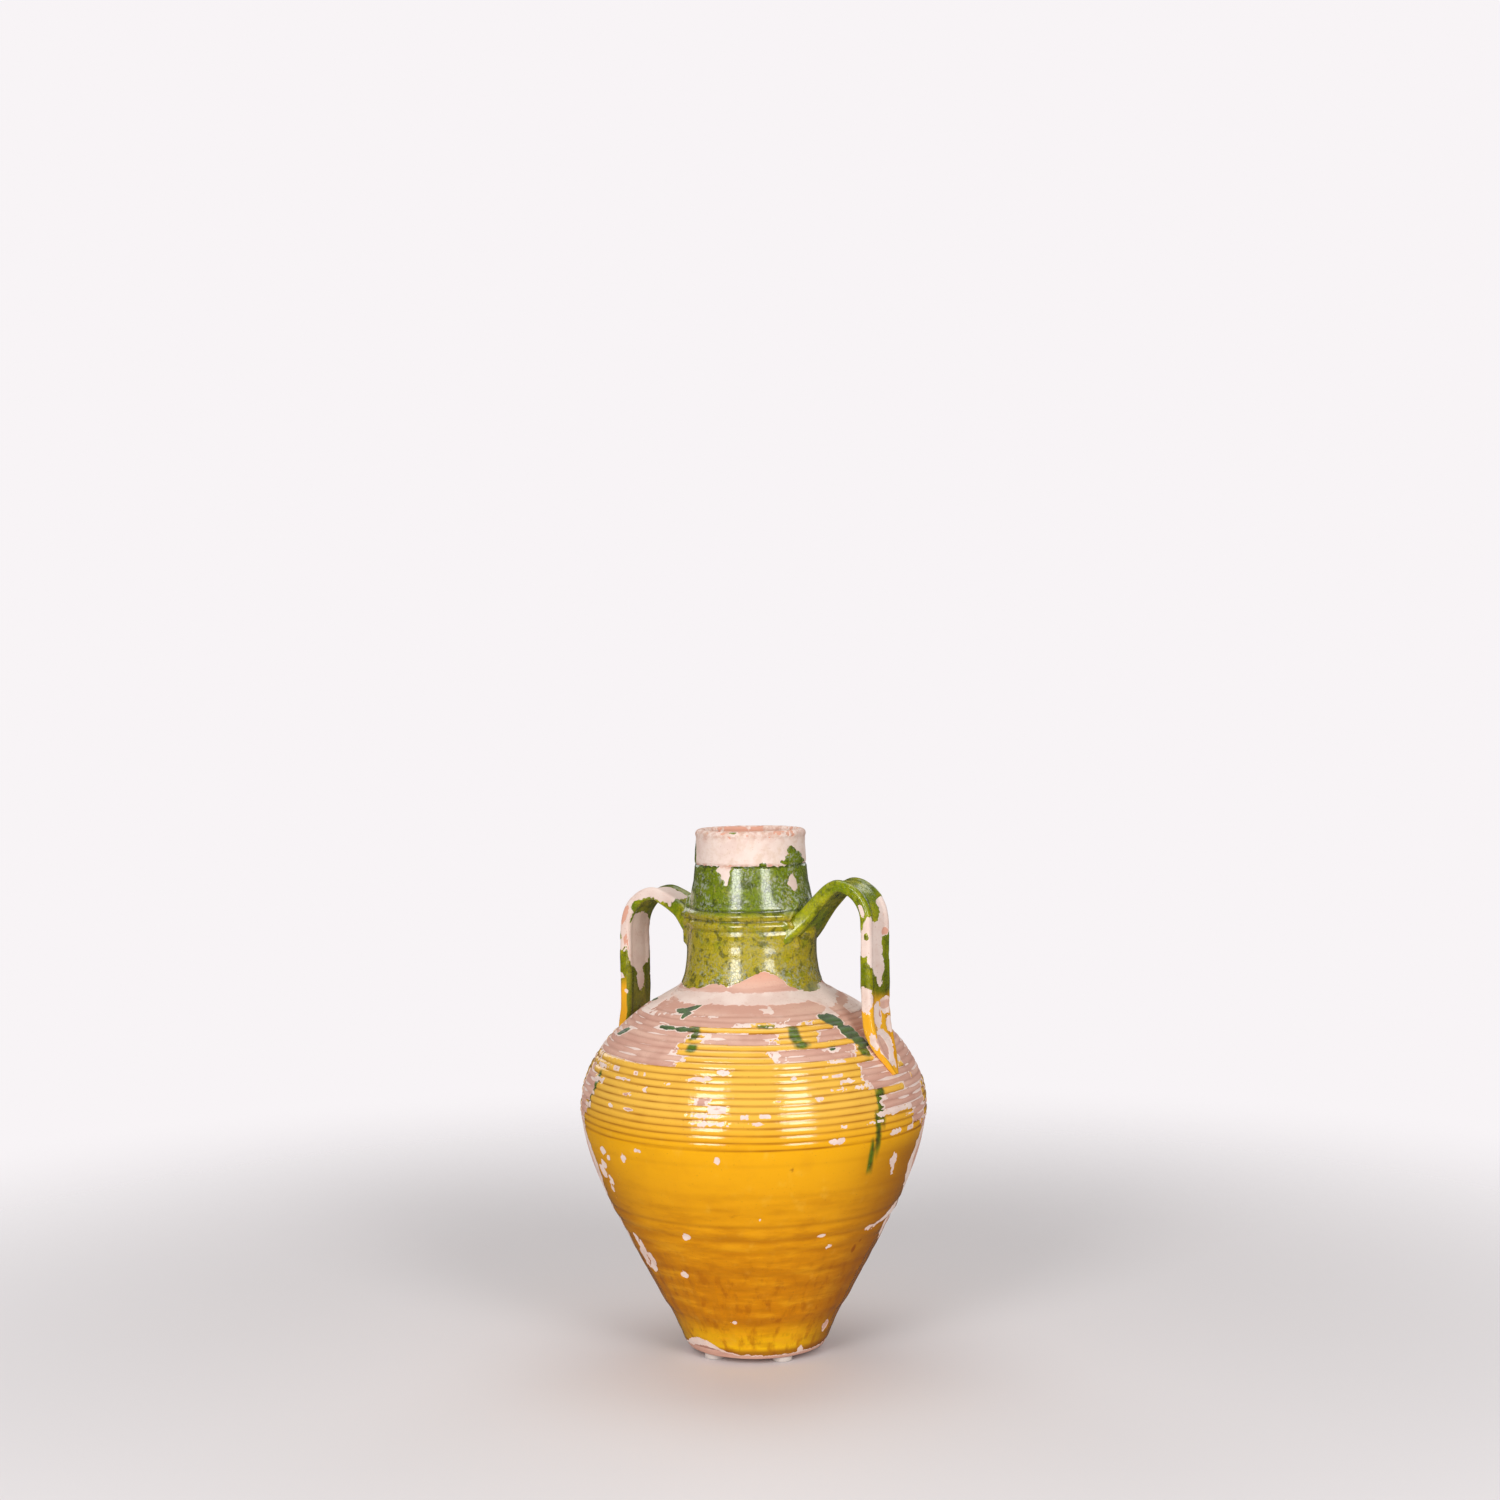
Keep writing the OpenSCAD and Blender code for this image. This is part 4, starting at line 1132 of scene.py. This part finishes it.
def soft_box(name, angle, elevation, distance, width, tall, power, colour=(1, 1, 1)):
    """A rectangular light that faces the jar, at an angle round it from the camera's side."""
    a, e = math.radians(VIEW + angle), math.radians(elevation)
    back = np.array([math.sin(a) * math.cos(e), -math.cos(a) * math.cos(e), math.sin(e)])
    made = bpy.data.lights.new(name, "AREA")
    made.shape = "RECTANGLE"
    made.size = width
    made.size_y = tall
    made.energy = power
    made.color = colour
    lamp = bpy.data.objects.new(name, made)
    lamp.location = back * distance + np.array([0, 0, 0.27])
    lamp.rotation_euler = (math.radians(90 - elevation), 0, math.radians(VIEW + angle))
    bpy.context.scene.collection.objects.link(lamp)
    return lamp


def box_power(radiance, width, tall):
    """Watts for an area light that looks a given brightness."""
    return radiance * math.pi * width * tall


soft_box("left_box", -29, 20, 2.6, 0.78, 1.7, box_power(8.0, 0.78, 1.7))
soft_box("right_box", 29, 20, 2.6, 0.76, 1.7, box_power(7.2, 0.76, 1.7))
soft_box("top_box", 180, 75, 2.4, 2.2, 1.6, box_power(1.6, 2.2, 1.6))
soft_box("back_left_box", 150, 25, 3.0, 0.9, 1.8, box_power(1.4, 0.9, 1.8))
soft_box("back_right_box", -150, 25, 3.0, 0.9, 1.8, box_power(1.4, 0.9, 1.8))

world = bpy.data.worlds.new("studio")
world.use_nodes = True
nodes, links = world.node_tree.nodes, world.node_tree.links
sky = nodes["Background"]
sky.inputs["Color"].default_value = paint(248, 244, 246)
kind = nodes.new("ShaderNodeLightPath")
seen = nodes.new("ShaderNodeMapRange")
seen.inputs["To Min"].default_value = 0.3
seen.inputs["To Max"].default_value = 1.0
mirrored = nodes.new("ShaderNodeMapRange")
mirrored.inputs["To Max"].default_value = 0.07
links.new(kind.outputs["Is Camera Ray"], seen.inputs["Value"])
links.new(kind.outputs["Is Glossy Ray"], mirrored.inputs["Value"])
links.new(seen.outputs["Result"], mirrored.inputs["To Min"])
links.new(mirrored.outputs["Result"], sky.inputs["Strength"])
bpy.context.scene.world = world
bpy.context.scene.view_settings.view_transform = "Standard"

camera = bpy.data.cameras.new("camera")
camera.sensor_width = 36
camera.lens = 55.2
eye = bpy.data.objects.new("camera", camera)
away = math.radians(VIEW)
eye.location = (2.224 * math.sin(away), -2.224 * math.cos(away), 0.6353)
camera.shift_y = -0.0413
eye.rotation_euler = (math.radians(90), 0, math.radians(VIEW - 0.035))
eye.rotation_euler.rotate_axis("Z", math.radians(-0.69))
bpy.context.scene.collection.objects.link(eye)
bpy.context.scene.camera = eye
